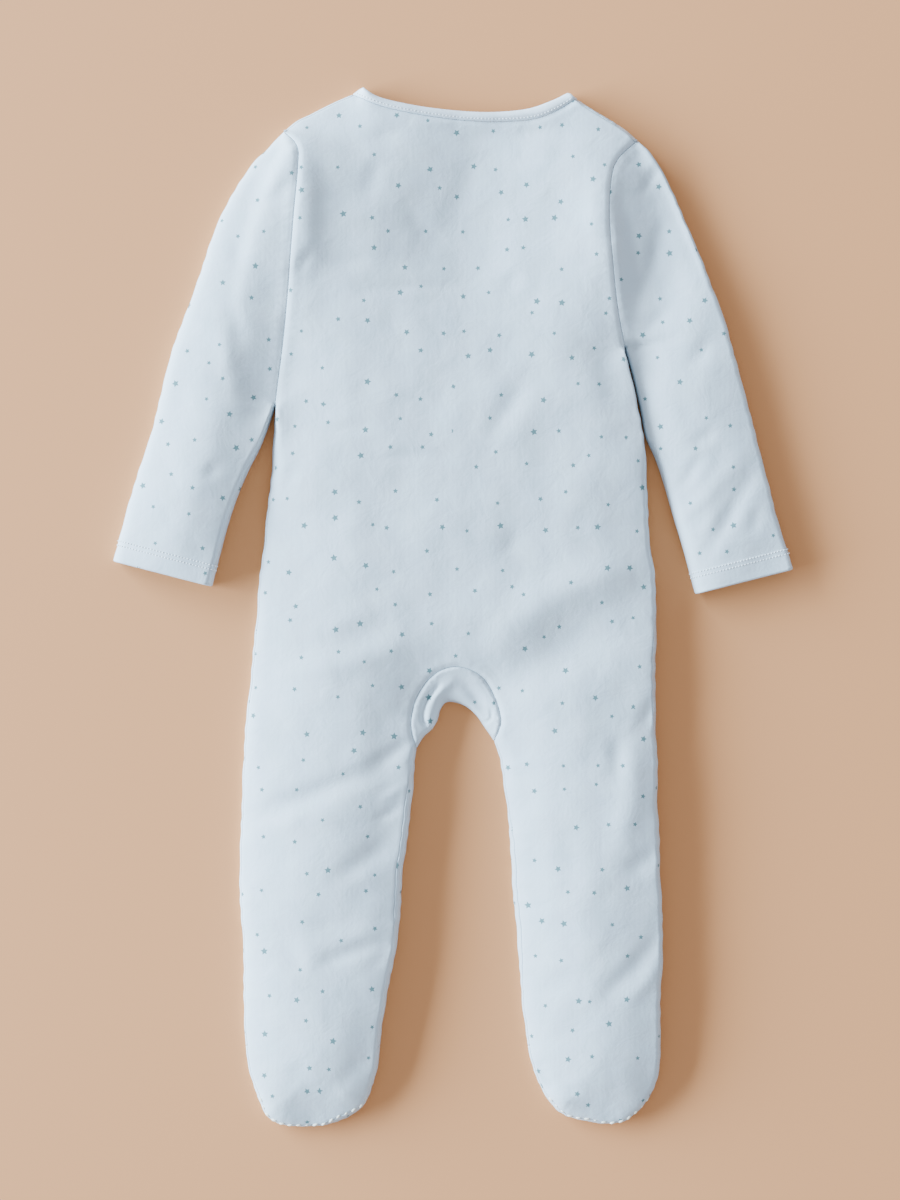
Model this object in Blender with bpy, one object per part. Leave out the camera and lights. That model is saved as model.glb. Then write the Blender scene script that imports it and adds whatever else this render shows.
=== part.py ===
"""Footed baby sleepsuit in printed cotton jersey, laid face down on a table.

Lengths are millimetres until a mesh is made. X runs across the garment, +Y to
the neck, +Z up from the table. "left" is the wearer's left, on the -X side.

The suit is one hollow form: a flat underside, sides that roll up from it and a
lofted back. The roll and the loft are functions of the distance to the outline.
Each cut piece is a region of that form between seam lines, given a wall.
"""

import math

import bpy
import numpy as np
from mathutils import Vector, kdtree
from mathutils.geometry import delaunay_2d_cdt

MM = 0.001
SIDES = ("left", "right")

# ---- driving dimensions -------------------------------------------------
WALL = 1.2            # one layer of lofted jersey
HEM_WALL = 2.2        # a turned hem
BINDING_WALL = 2.2    # folded neck binding
BINDING_PROUD = 0.5   # how far the binding stands off the panels
PROUD_FROM = 2.0      # the binding stands off above this height
PROUD_RAMP = 2.0      # and fully off this much higher
SEAM_GAP = 0.3        # between neighbouring pieces
SEAM_INSET = 0.9      # how far the side seam lies inside the outline
SHIFT_RAMP = 22.0     # length over which the side seam moves further in
HEM_DEPTH = 12.0      # turned hem at the cuff
HEM_STEP = 0.5        # half the width over which the hem's wall thickens
EDGE_Z = 3.6          # height of the widest point of every rolled side
UNDER_ROLL = 4.0      # width of the roll below that point
# width and height of a sleeve's roll above it
SLEEVE_ROLL = {"left": (7.0, 7.4), "right": (7.5, 6.6)}
CELL_TOP = 15.0       # spacing of points on the lofted side
CELL_UNDER = 27.0     # spacing of points on the flat side
CELL_SMALL = 8.0      # spacing of points on the gusset and the binding
CELL_ROOM = 0.62      # of a cell, between a grid point and its neighbours
TOP_ROWS = (3.4, 9.0)       # rows of points beside an outline, lofted side
UNDER_ROWS = (1.6, 5.0)     # the same on the flat side
ROW_ROOM = 0.6        # of a row's step, between a row's point and its neighbours
LONGEST = 14.0        # longest step along an outline or a seam
ARCH_POINTS = 80      # points along the gusset's seam before it is thinned out
SLOPE_STEP = 0.25     # plan step for measuring a slope
SHARP = math.radians(50.0)   # a fold over this angle is shaded as an edge
TURN = 0.30           # most that an outline turns in one step, radians
TIGHT_TURN = 0.42     # the same round the gusset
NEAR_CUT = 2.5        # a line's own points nearer than this give way to a cut's
LAP = 10.0            # each front passes the centre line by this
LAP_RAMP = 7.0        # width over which a front climbs to its lap
LAP_CLEAR = 0.5       # between the outer lap's edge and the inner one's climb
LAP_ROOM = 3.0        # between points beside that climb
LAP_LIFT = 1.0        # the outer lap lies on the poppers
LAP_FADE = 14.0       # the lift dies out this near to the neck and the gusset
POPPER_RADIUS = 5.0
POPPER_HEIGHT = 0.7
POPPER_SIDES = 20
POPPER_COUNT = 7
POPPER_TOP_Y = 222.0  # the highest one, and the step down to the next
POPPER_PITCH = 39.5
CENTRE_X = 4.0        # centre line of the fronts
ANKLE_Y = -262.0      # seam between each front leg and its foot top

# Outline of the body and legs: height up the garment and the four edges.
# columns: y, left outer, left inner, right inner, right outer
LEGS = (
    (-92.0, -125.4, -22.9, 28.1, 122.3),
    (-116.0, -126.4, -24.7, 31.7, 122.3),
    (-140.0, -127.2, -27.7, 34.1, 123.5),
    (-164.0, -127.9, -30.7, 35.3, 124.1),
    (-188.0, -126.7, -31.9, 37.5, 125.4),
    (-212.0, -125.3, -35.5, 39.5, 125.3),
    (-236.0, -125.4, -40.3, 41.3, 124.1),
    (-260.0, -124.3, -43.5, 44.3, 124.1),
    (-272.0, -123.1, -44.6, 46.6, 123.9),
    (-284.0, -120.3, -47.5, 50.9, 121.7),
    (-296.0, -115.9, -52.0, 57.3, 116.0),
)
# columns: x, y along the toe, from the outer side to the inner side
TOE = {
    "left": ((-111.2, -305.3), (-104.0, -309.6), (-92.0, -311.2), (-77.0, -310.3), (-61.6, -305.0)),
    "right": ((109.0, -303.3), (103.0, -307.8), (94.0, -309.6), (80.0, -308.1), (66.4, -304.2)),
}
# columns: y, left side, right side, from the underarm to the hip
TRUNK = (
    (139.0, -103.6, 106.3),
    (117.0, -106.5, 111.2),
    (100.0, -107.6, 114.1),
    (85.0, -108.2, 115.6),
    (64.0, -110.5, 116.3),
    (40.0, -112.9, 117.6),
    (16.0, -115.9, 120.9),
    (-8.0, -117.8, 121.6),
    (-32.0, -120.1, 121.2),
    (-56.0, -122.5, 121.1),
    (-74.0, -124.5, 121.3),
)
# Crotch edge, where the gusset turns under, from the left leg to the right.
GUSSET_TIP = {"left": (-21.8, -84.6), "right": (24.4, -80.4)}
CROTCH = (
    (-17.6, -77.9), (-12.6, -73.3), (-9.4, -68.0), (-7.6, -61.6), (-4.2, -57.4),
    (1.6, -57.5), (8.0, -60.1), (14.0, -65.4), (19.0, -72.6),
)
# Seam of the gusset on the back, from the left leg to the right.
GUSSET_SEAM = (
    (-24.8, -73.7), (-24.8, -65.6), (-22.7, -56.5), (-18.4, -48.5), (-13.1, -42.1),
    (-6.7, -37.8), (0.8, -35.9), (8.3, -37.0), (15.4, -40.7), (20.7, -46.4),
    (25.0, -54.9), (27.8, -63.4), (28.2, -70.6),
)
FRONT_GUSSET_DEPTH = 0.6   # of the back seam's distance from the crotch edge

# Neck and shoulders.
UNDERARM = {"left": (-101.5, 157.0), "right": (102.3, 155.0)}
NOTCH = {"left": (-101.5, 284.1), "right": (110.6, 278.7)}
SHOULDER = {
    "left": ((-93.7, 290.5), (-85.9, 294.3), (-72.1, 301.3)),
    "right": ((103.5, 285.0), (94.7, 290.7), (82.7, 298.0)),
}
NECK_POINT = {"left": (-60.2, 306.5), "right": (74.5, 303.4)}
NECK_TIP = {"left": (-54.8, 310.7), "right": (69.9, 307.3)}
NECK_EDGE = (
    (-48.7, 300.7), (-33.4, 296.2), (-11.9, 292.4), (9.5, 290.1), (27.8, 289.6),
    (48.0, 290.9), (61.5, 295.6),
)
NECK_RIM = (
    (-44.1, 304.2), (-24.2, 299.6), (-2.8, 296.8), (20.2, 295.4), (43.1, 296.9),
    (58.4, 301.7),
)
FRONT_NECK = (
    (-46.0, 287.5), (-29.0, 266.5), (-8.0, 251.5), (7.0, 248.0), (22.0, 250.5),
    (43.0, 265.5), (60.5, 286.5),
)
BINDING_WIDTH = 6.8
# Armholes, from the shoulder notch to the underarm.
# columns: x, y, height of the seam before the side's roll is taken off
ARMHOLE = {
    "left": (
        (-101.5, 284.1, 9.4), (-93.2, 274.6, 13.0), (-92.2, 262.0, 15.6), (-94.6, 234.3, 16.4),
        (-97.0, 204.5, 15.0), (-98.6, 184.6, 12.8), (-101.5, 157.0, 10.0),
    ),
    "right": (
        (110.6, 278.7, 9.4), (98.4, 266.8, 12.8), (94.0, 254.2, 15.4), (93.0, 231.3, 16.6),
        (94.6, 208.5, 16.0), (98.0, 178.0, 13.0), (102.3, 155.0, 10.0),
    ),
}
# Outer and inner edges of the sleeves, from the body to the cuff.
SLEEVE_OUTER = {
    "left": (
        (-112.3, 273.0), (-120.1, 264.8), (-133.9, 243.9), (-144.7, 219.9), (-152.5, 195.9),
        (-161.5, 171.9), (-169.9, 147.9), (-175.6, 123.9), (-181.9, 99.9), (-190.0, 75.9),
        (-196.9, 51.9), (-203.6, 27.1),
    ),
    "right": (
        (119.9, 269.3), (128.3, 254.7), (138.5, 231.9), (148.7, 207.9), (155.6, 190.0),
        (162.5, 171.9), (169.1, 147.9), (175.7, 123.9), (181.8, 99.9), (188.1, 75.9),
        (194.3, 51.9), (203.6, 22.3),
    ),
}
SLEEVE_INNER = {
    "left": (
        (-104.2, 139.0), (-107.2, 117.0), (-114.5, 97.1), (-122.4, 81.2), (-129.2, 65.2),
        (-134.5, 49.3), (-139.3, 31.5), (-144.3, 11.8),
    ),
    "right": (
        (107.0, 139.0), (112.0, 117.0), (114.9, 102.0), (120.6, 89.1), (125.4, 75.3),
        (131.8, 53.3), (137.8, 33.4), (144.8, 7.3),
    ),
}

# Stretches where the front rolls over to the lofted side and its seam shows.
# columns: line, side, top y, bottom y, extra distance from the outline
SEAM_SHIFTS = (
    ("shoulder", "right", 330.0, 250.0, 1.8),
    ("side", "right", 0.0, -84.0, 1.9),
    ("inner", "left", -88.0, -205.0, 2.8),
    ("inner", "right", -122.0, -226.0, 1.6),
)
CORNER_INSET = {"left": 0.9, "right": 2.7}
# a point well inside each stretch of outline
INSIDE = {
    ("shoulder", "left"): (-70.0, 250.0), ("shoulder", "right"): (70.0, 250.0),
    ("side", "left"): (0.0, 0.0), ("side", "right"): (0.0, 0.0),
    ("foot", "left"): (-85.0, -280.0), ("foot", "right"): (85.0, -280.0),
    ("inner", "left"): (-85.0, -160.0), ("inner", "right"): (85.0, -160.0),
    ("tip", "left"): (-30.0, 290.0), ("tip", "right"): (50.0, 285.0),
    ("sleeve outer", "left"): (-120.0, 180.0), ("sleeve outer", "right"): (120.0, 180.0),
    ("sleeve inner", "left"): (-175.0, 70.0), ("sleeve inner", "right"): (175.0, 70.0),
    ("crotch", ""): (0.0, 0.0),
}

# Loft of the back down the garment, how far in from an edge it is reached, and the
# roll of the edge. columns: y, height, reach, width of the roll, height of the roll
BODY_LOFT = (
    (310.0, 13.5, 40.0, 9.0, 6.0),
    (250.0, 14.2, 42.0, 9.0, 6.0),
    (205.0, 15.0, 44.0, 9.0, 6.2),
    (120.0, 17.0, 48.0, 9.0, 6.6),
    (0.0, 17.0, 48.0, 9.0, 6.6),
    (-60.0, 18.0, 40.0, 10.0, 7.8),
    (-110.0, 19.0, 34.0, 11.0, 8.8),
    (-240.0, 18.5, 33.0, 11.0, 8.8),
    (-310.0, 15.5, 26.0, 9.5, 7.8),
)
# Edges that face left are rounder than those that face right.
REACH_SHARE = {"left": 1.4, "right": 0.8}
RIM_HEIGHT = 10.5     # free edge of the neck binding
NECK_REACH = 50.0
# columns: share of the way from the armhole to the cuff, height
SLEEVE_LOFT = {
    "left": ((0.0, 15.5), (0.5, 17.5), (0.85, 16.5), (1.0, 14.5)),
    "right": ((0.0, 12.0), (0.5, 14.0), (0.85, 13.5), (1.0, 12.0)),
}
# how far in from the outer and the inner edge the loft of a sleeve is reached
SLEEVE_REACH = {"left": (44.0, 28.0), "right": (22.0, 24.0)}
ARMHOLE_REACH = {"left": 38.0, "right": 44.0}

# Largest folds of the lofted side, each a straight soft ridge or trough.
# columns: x0, y0, x1, y1, half width, depth (minus is a trough)
FOLDS = (
    (-61.0, 262.0, -63.0, 202.0, 24.0, -2.8),
    (25.0, 270.0, 22.0, 218.0, 16.0, -1.8),
    (107.0, 258.0, 107.0, 176.0, 9.0, -3.8),
    (18.0, 128.0, 40.0, 118.0, 15.0, -1.2),
    (34.0, -34.0, 112.0, 2.0, 12.0, -1.5),
    (-34.0, -28.0, -100.0, -18.0, 12.0, 1.2),
    (-30.0, -90.0, -108.0, -122.0, 9.0, -1.8),
    (-36.0, -132.0, -66.0, -152.0, 8.0, -1.3),
    (106.0, -60.0, 100.0, -100.0, 10.0, -1.2),
    (112.0, -158.0, 88.0, -178.0, 9.0, -1.3),
    (118.0, -206.0, 100.0, -226.0, 8.0, -1.2),
    (-110.0, 196.0, -110.0, 164.0, 9.0, -1.2),
    (-124.0, 150.0, -117.0, 130.0, 8.0, -1.4),
    (176.0, 76.0, 150.0, 32.0, 7.0, -1.5),
    (120.0, 256.0, 112.0, 246.0, 6.0, -1.0),
)
FOLD_FADE = 10.0      # folds die out this far from a rolled edge

CLOTH = (0.855, 0.885, 0.910)
BINDING_CLOTH = (0.900, 0.920, 0.935)
POPPER_PLASTIC = (0.930, 0.935, 0.940)


# ---- plan curves --------------------------------------------------------
def smooth(points, steps=12):
    """Points on a Catmull-Rom curve through the given ones."""
    p = np.array([q[:2] for q in points], float)
    ends = np.vstack([2 * p[0] - p[1], p, 2 * p[-1] - p[-2]])
    t = np.linspace(0.0, 1.0, steps, endpoint=False)[:, None]
    out = []
    for a, b, c, d in zip(ends, ends[1:], ends[2:], ends[3:]):
        out.append(0.5 * (2 * b + (c - a) * t + (2 * a - 5 * b + 4 * c - d) * t**2
                          + (3 * b - a - 3 * c + d) * t**3))
    return np.vstack(out + [p[-1:]])


def lengths(line):
    """Distance along a line at each of its points."""
    steps = np.linalg.norm(np.diff(line, axis=0), axis=1)
    return np.concatenate([[0.0], np.cumsum(steps)])


def along(line, where):
    """Points at the given distances along a line."""
    s = lengths(line)
    return np.column_stack([np.interp(where, s, line[:, k]) for k in range(line.shape[1])])


def sampled(line, longest=LONGEST, turn=TURN):
    """The line with few points where it is straight and more where it bends."""
    step = np.diff(line, axis=0)
    size = np.linalg.norm(step, axis=1)
    heading = np.unwrap(np.arctan2(step[:, 1], step[:, 0]))
    bend = np.abs(np.gradient(heading)) if len(heading) > 1 else np.zeros(1)
    load = np.concatenate([[0.0], np.cumsum(size / longest + bend / turn)])
    count = max(1, math.ceil(load[-1]))
    where = np.interp(np.linspace(0.0, load[-1], count + 1), load, lengths(line))
    return along(line, where)


def nearest(points, line):
    """Distance from each point to a line, and how far along it the foot lies."""
    best = np.full(len(points), np.inf)
    place = np.zeros(len(points))
    s = lengths(line)
    for k, (a, b) in enumerate(zip(line[:-1], line[1:])):
        run = b - a
        size = float(run @ run)
        if size == 0.0:
            continue
        t = np.clip((points - a) @ run / size, 0.0, 1.0)
        d = np.linalg.norm(points - a - t[:, None] * run, axis=1)
        closer = d < best
        best[closer] = d[closer]
        place[closer] = s[k] + t[closer] * math.sqrt(size)
    return best, place


def inward(line, inside):
    """Unit normals in plan at each point of a line, on the side of `inside`."""
    run = np.gradient(line, axis=0)
    run /= np.linalg.norm(run, axis=1)[:, None]
    normal = np.column_stack([-run[:, 1], run[:, 0]])
    middle = len(line) // 2
    if normal[middle] @ (np.array(inside) - line[middle]) < 0:
        normal = -normal
    return normal


def cut_at_x(line, x):
    """The line with a point where it crosses x, in place of any point close by."""
    k = int(np.argmax((line[:-1, 0] - x) * (line[1:, 0] - x) <= 0.0))
    t = (x - line[k, 0]) / (line[k + 1, 0] - line[k, 0])
    point = line[k] + t * (line[k + 1] - line[k])
    before = [p for p in line[: k + 1] if np.linalg.norm(p - point) > NEAR_CUT]
    after = [p for p in line[k + 1:] if np.linalg.norm(p - point) > NEAR_CUT]
    return np.array(before + [point] + after)


def with_corners(line, first, last, longest=LONGEST, turn=TURN):
    """A sampled line that also has a point at a set distance from each end."""
    s = lengths(line)
    keep = (s > first) & (s < s[-1] - last)
    middle = np.vstack([along(line, [first]), line[keep], along(line, [s[-1] - last])])
    return np.vstack([line[:1], sampled(middle, longest, turn), line[-1:]])


def body_outline(side):
    """Side, foot and inner leg of one half, from the underarm to the crotch."""
    trunk = [(row[1 if side == "left" else 2], row[0]) for row in TRUNK]
    outer, inner = (1, 2) if side == "left" else (4, 3)
    leg = [(row[outer], row[0]) for row in LEGS]
    back_up = [(row[inner], row[0]) for row in LEGS][::-1]
    whole = smooth([UNDERARM[side]] + trunk + leg + list(TOE[side]) + back_up
                   + [GUSSET_TIP[side]])
    s = lengths(whole)
    low = np.flatnonzero(whole[:, 1] < ANKLE_Y)
    stops = (0.0, s[low[0]], s[low[-1]], s[-1])
    pieces = {}
    for name, start, end in zip(("side", "foot", "inner"), stops[:-1], stops[1:]):
        keep = (s > start) & (s < end)
        piece = np.vstack([along(whole, [start]), whole[keep], along(whole, [end])])
        pieces[name, side] = sampled(piece)
    return pieces


def seam_inset(name, side, line):
    """How far the side seam lies inside the outline at each point of a line."""
    inset = np.full(len(line), SEAM_INSET)
    for where, which, high, low, extra in SEAM_SHIFTS:
        if (where, which) == (name, side):
            into = np.minimum(high - line[:, 1], line[:, 1] - low) / SHIFT_RAMP
            inset += extra * np.clip(into, 0.0, 1.0)
    return inset


def plan_lines():
    """Every named plan line of the garment, as sampled points."""
    lines = {}
    arch = smooth((GUSSET_TIP["left"],) + GUSSET_SEAM + (GUSSET_TIP["right"],))
    crotch = smooth((GUSSET_TIP["left"],) + CROTCH + (GUSSET_TIP["right"],))
    neck = smooth((NECK_POINT["left"],) + NECK_EDGE + (NECK_POINT["right"],))
    lines["arch"] = with_corners(arch, SEAM_INSET, SEAM_INSET, turn=TIGHT_TURN)
    lines["neck"] = with_corners(neck, CORNER_INSET["left"], CORNER_INSET["right"])
    lines["crotch"] = sampled(crotch, turn=TIGHT_TURN)
    lines["rim"] = sampled(smooth((NECK_TIP["left"],) + NECK_RIM + (NECK_TIP["right"],)))
    share = np.linspace(0.0, 1.0, ARCH_POINTS)
    edge = along(crotch, share * lengths(crotch)[-1])
    over = along(arch, share * lengths(arch)[-1])
    front_arch = with_corners(edge + FRONT_GUSSET_DEPTH * (over - edge),
                              2.0 * SEAM_INSET, 2.0 * SEAM_INSET, turn=TIGHT_TURN)
    front_neck = sampled(smooth((NECK_POINT["left"],) + FRONT_NECK + (NECK_POINT["right"],)))
    for name, line in (("front arch", front_arch), ("front neck", front_neck)):
        line = cut_at_x(cut_at_x(line, CENTRE_X - LAP), CENTRE_X + LAP)
        start = int(np.argmin(np.abs(line[:, 0] - (CENTRE_X - LAP))))
        end = int(np.argmin(np.abs(line[:, 0] - (CENTRE_X + LAP))))
        lines[name] = line
        lines[name, "left"] = line[: end + 1]
        lines[name, "right"] = line[start:]
    reach = inward(lines["front neck"], (CENTRE_X, 300.0))
    rim = lines["front neck"] + BINDING_WIDTH * reach
    rim[0] = NECK_TIP["left"]
    rim[-1] = NECK_TIP["right"]
    lines["front rim"] = rim
    lines["front rim", "left"] = rim[: len(lines["front neck", "left"])]
    lines["front rim", "right"] = rim[-len(lines["front neck", "right"]):]
    for side in SIDES:
        lines.update(body_outline(side))
        lines["shoulder", side] = sampled(
            smooth((NOTCH[side],) + SHOULDER[side] + (NECK_POINT[side],)))
        lines["tip", side] = np.array([NECK_POINT[side], NECK_TIP[side]])
        lines["sleeve outer", side] = sampled(smooth((NOTCH[side],) + SLEEVE_OUTER[side]))
        lines["sleeve inner", side] = sampled(smooth((UNDERARM[side],) + SLEEVE_INNER[side]))
        hem = np.array([SLEEVE_OUTER[side][-1], SLEEVE_INNER[side][-1]])
        lines["hem", side] = sampled(hem)
        ankle = np.array([lines["foot", side][0], lines["foot", side][-1]])
        lines["ankle", side] = sampled(ankle)
        armhole = smooth(ARMHOLE[side])
        lines["armhole", side] = with_corners(armhole, CORNER_INSET[side], SEAM_INSET)
        lines["armhole under", side] = sampled(armhole)
        ends = {
            "shoulder": (lines["armhole", side][1], lines["neck"][1 if side == "left" else -2]),
            "side": (lines["armhole", side][-2], None),
            "foot": (None, None),
            "inner": (None, lines["arch"][1 if side == "left" else -2]),
        }
        for name, (first, last) in ends.items():
            line = lines[name, side]
            normal = inward(line, INSIDE[name, side])
            seam = line + seam_inset(name, side, line)[:, None] * normal
            if first is not None:
                seam[0] = first
            if last is not None:
                seam[-1] = last
            lines[name + " seam", side] = seam
        # one shared corner of both panels at each end of the foot's seam
        lines["foot seam", side][0] = lines["side seam", side][-1]
        lines["foot seam", side][-1] = lines["inner seam", side][0]
    return lines


# ---- the form -----------------------------------------------------------
def rounded(t):
    """Quarter ellipse from 0 to 1, upright at its start."""
    return np.sqrt(1.0 - (1.0 - np.clip(t, 0.0, 1.0)) ** 2)


def rising(t):
    """Parabola from 0 to 1, level at its end."""
    return 1.0 - (1.0 - np.clip(t, 0.0, 1.0)) ** 2


def closest(points, lines):
    """Distance from each point to the nearest of several lines."""
    return np.min([nearest(points, line)[0] for line in lines], axis=0)


def blended(height, edges):
    """Height that meets each edge's own height and rises away from all of them.

    edges holds a distance, a reach and a height at the edge for each one.
    """
    shares = [np.clip(rising(distance / reach), 1e-4, 1.0) for distance, reach, _ in edges]
    whole = np.prod(shares, axis=0)
    weights = [((1.0 - share) / share) ** 2 + 1e-9 for share in shares]
    edge = sum(w * e[2] for w, e in zip(weights, edges)) / sum(weights)
    return whole * height + (1.0 - whole) * edge


def folds(points, from_edge):
    """Ridges and troughs of the cloth, dying out at a rolled edge."""
    out = np.zeros(len(points))
    for x0, y0, x1, y1, width, depth in FOLDS:
        distance, _ = nearest(points, np.array([(x0, y0), (x1, y1)]))
        out += depth * np.exp(-((distance / width) ** 2))
    return out * rising(from_edge / FOLD_FADE)


class Form:
    """Height of the garment's outer surface over any plan point."""

    def __init__(self, lines):
        self.lines = lines
        names = ("shoulder", "tip", "side", "foot", "inner")
        self.rolled = [lines[name, side] for side in SIDES for name in names]
        self.rolled.append(lines["crotch"])
        self.facing = {}
        for side, other in (SIDES, SIDES[::-1]):
            faces = [("shoulder", side), ("tip", side), ("side", side), ("inner", other),
                     ("foot", side), ("foot", other), "crotch"]
            self.facing[side] = [lines[name] for name in faces]
        self.roll_of = {side: [lines["sleeve outer", side], lines["sleeve inner", side]]
                        for side in SIDES}
        self.arm_height = {}
        self.cap_height = {}
        for side in SIDES:
            armhole = smooth(ARMHOLE[side])
            table = np.array(ARMHOLE[side])
            knots = nearest(table[:, :2], armhole)[1]
            heights = np.interp(lengths(armhole), knots, table[:, 2])
            self.arm_height[side] = (armhole, heights)
        for side in SIDES:
            armhole, heights = self.arm_height[side]
            y, _, _, width, height = np.array(BODY_LOFT)[::-1].T
            width, height = (np.interp(armhole[:, 1], y, column) for column in (width, height))
            seam = heights - height * (1.0 - rounded(closest(armhole, self.rolled) / width))
            width, height = SLEEVE_ROLL[side]
            own = closest(armhole, self.roll_of[side])
            self.cap_height[side] = seam + height * (1.0 - rounded(own / width))

    def body_top(self, points):
        """Lofted side of the back, front strips, gusset and binding."""
        y, *columns = np.array(BODY_LOFT)[::-1].T
        height, reach, roll_width, roll_height = (
            np.interp(points[:, 1], y, column) for column in columns)
        away = {side: closest(points, self.facing[side]) for side in SIDES}
        from_edge = np.minimum(away["left"], away["right"])
        edges = [(away[side], reach * REACH_SHARE[side], EDGE_Z + roll_height)
                 for side in SIDES]
        edges.append((nearest(points, self.lines["rim"])[0], NECK_REACH, RIM_HEIGHT))
        for side in SIDES:
            armhole, heights = self.arm_height[side]
            distance, place = nearest(points, armhole)
            seam = np.interp(place, lengths(armhole), heights)
            edges.append((distance, ARMHOLE_REACH[side], seam))
        z = blended(height, edges)
        z -= roll_height * (1.0 - rounded(from_edge / roll_width))
        return z + folds(points, from_edge)

    def sleeve_top(self, points, side):
        """Lofted side of one sleeve."""
        from_edge = closest(points, self.roll_of[side])
        roll_width, roll_height = SLEEVE_ROLL[side]
        armhole, _ = self.arm_height[side]
        from_arm, place = nearest(points, armhole)
        from_hem, _ = nearest(points, self.lines["hem", side])
        share, height = np.array(SLEEVE_LOFT[side]).T
        loft = np.interp(from_arm / (from_arm + from_hem), share, height)
        seam = np.interp(place, lengths(armhole), self.cap_height[side])
        edges = [(nearest(points, line)[0], reach, EDGE_Z + roll_height)
                 for line, reach in zip(self.roll_of[side], SLEEVE_REACH[side])]
        z = blended(loft, [*edges, (from_arm, ARMHOLE_REACH[side], seam)])
        z -= roll_height * (1.0 - rounded(from_edge / roll_width))
        return z + folds(points, np.minimum(from_edge, from_arm))

    def under(self, points, rolled):
        """Flat side, rolled up at the outline."""
        return EDGE_Z * (1.0 - rounded(closest(points, rolled) / UNDER_ROLL))

    def lap(self, points, side):
        """Climb of a front towards the centre, the left one outside the right."""
        if side == "left":
            ramp = (points[:, 0] - (CENTRE_X - LAP - LAP_RAMP)) / LAP_RAMP
            ends = np.minimum(nearest(points, self.lines["front neck"])[0],
                              nearest(points, self.lines["front arch"])[0])
            lift = LAP_LIFT * np.clip(ends / LAP_FADE, 0.0, 1.0)
        else:
            ramp = (CENTRE_X + LAP + LAP_CLEAR + LAP_RAMP - points[:, 0]) / LAP_RAMP
            lift = LAP_LIFT + WALL + SEAM_GAP
        return lift * np.clip(ramp, 0.0, 1.0)


def slope_normal(height, points, up):
    """Outward unit normals of a height function."""
    step = SLOPE_STEP
    dx = height(points + (step, 0.0)) - height(points - (step, 0.0))
    dy = height(points + (0.0, step)) - height(points - (0.0, step))
    normal = np.column_stack([-dx, -dy, np.full(len(points), 2.0 * step)])
    if not up:
        normal = -normal
    return normal / np.linalg.norm(normal, axis=1)[:, None]


def key(point):
    """A plan point's own name, the same for every piece that meets there."""
    return round(float(point[0]), 2), round(float(point[1]), 2)


def edge_normals(lines):
    """Level outward normals at the points of every rolled outline."""
    table = {}
    for (name, side), inside in INSIDE.items():
        line = lines[name, side] if side else lines[name]
        for point, normal in zip(line, -inward(line, inside)):
            table.setdefault(key(point), []).append(normal)
    out = {}
    for place, normals in table.items():
        mean = np.mean(normals, axis=0)
        out[place] = np.append(mean / max(np.linalg.norm(mean), 1e-6), 0.0)
    for side in SIDES:
        out[key(UNDERARM[side])] = np.array([0.0, -1.0, 0.0])
    return out


def seam_points(form, lines):
    """Height and normal along each armhole, shared by the body and the sleeve."""
    shared = {}
    for side in SIDES:
        for name, layer in (("armhole", "top"), ("armhole under", "under")):
            line = lines[name, side]
            if layer == "top":
                z = form.body_top(line)
                body = slope_normal(form.body_top, line, True)
                sleeve = slope_normal(lambda p: form.sleeve_top(p, side), line, True)
            else:
                z = form.under(line, form.rolled)
                body = slope_normal(lambda p: form.under(p, form.rolled), line, False)
                rolled = form.roll_of[side]
                sleeve = slope_normal(lambda p: form.under(p, rolled), line, False)
            normal = body + sleeve
            normal /= np.linalg.norm(normal, axis=1)[:, None]
            for place, height, direction in zip(line, z, normal):
                shared[key(place), layer] = (height, direction)
    return shared


# ---- pieces -------------------------------------------------------------
def loop(*lines):
    """A closed outline from lines that follow one another."""
    out = []
    for line in lines:
        for point in line:
            if not out or key(out[-1]) != key(point):
                out.append(point)
    if key(out[0]) == key(out[-1]):
        out.pop()
    return np.array(out)


def inside(points, outline):
    """Which points lie inside a closed outline."""
    x, y = points.T
    hit = np.zeros(len(points), bool)
    for (x0, y0), (x1, y1) in zip(outline, np.roll(outline, -1, axis=0)):
        if y0 == y1:
            continue
        crosses = (y0 > y) != (y1 > y)
        hit ^= crosses & (x < (x1 - x0) * (y - y0) / (y1 - y0) + x0)
    return hit


def grid(outline, cell):
    """Staggered rows of points over an outline's box."""
    low = outline.min(axis=0)
    high = outline.max(axis=0)
    row = cell * math.sqrt(0.75)
    points = []
    for k in range(int((high[1] - low[1]) / row) + 1):
        x = np.arange(low[0] + (k % 2) * 0.5 * cell, high[0], cell)
        points.append(np.column_stack([x, np.full(len(x), low[1] + k * row)]))
    return np.vstack(points)


def filled(outline, rows, cell):
    """Triangles over an outline: its own points, rows beside its edges, a grid."""
    border = np.vstack([outline, outline[:1]])
    kept = list(outline)
    for points, room in rows + [(grid(outline, cell), CELL_ROOM * cell)]:
        points = points[inside(points, outline)]
        points = points[nearest(points, border)[0] > min(room, 0.5 * cell)]
        tree = kdtree.KDTree(len(kept))
        for k, point in enumerate(kept):
            tree.insert((point[0], point[1], 0.0), k)
        tree.balance()
        kept += [p for p in points if tree.find((p[0], p[1], 0.0))[2] > room]
    count = len(outline)
    edges = [(k, (k + 1) % count) for k in range(count)]
    vectors = [Vector((float(p[0]), float(p[1]))) for p in kept]
    _, _, faces, origin, _, _ = delaunay_2d_cdt(vectors, edges, [], 1, 1e-6)
    names = [first[0] for first in origin]
    points = np.array(kept)
    triangles = []
    for face in faces:
        a, b, c = (names[k] for k in face)
        u = points[b] - points[a]
        v = points[c] - points[a]
        triangles.append((a, b, c) if u[0] * v[1] - u[1] * v[0] > 0 else (a, c, b))
    return points, triangles


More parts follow.
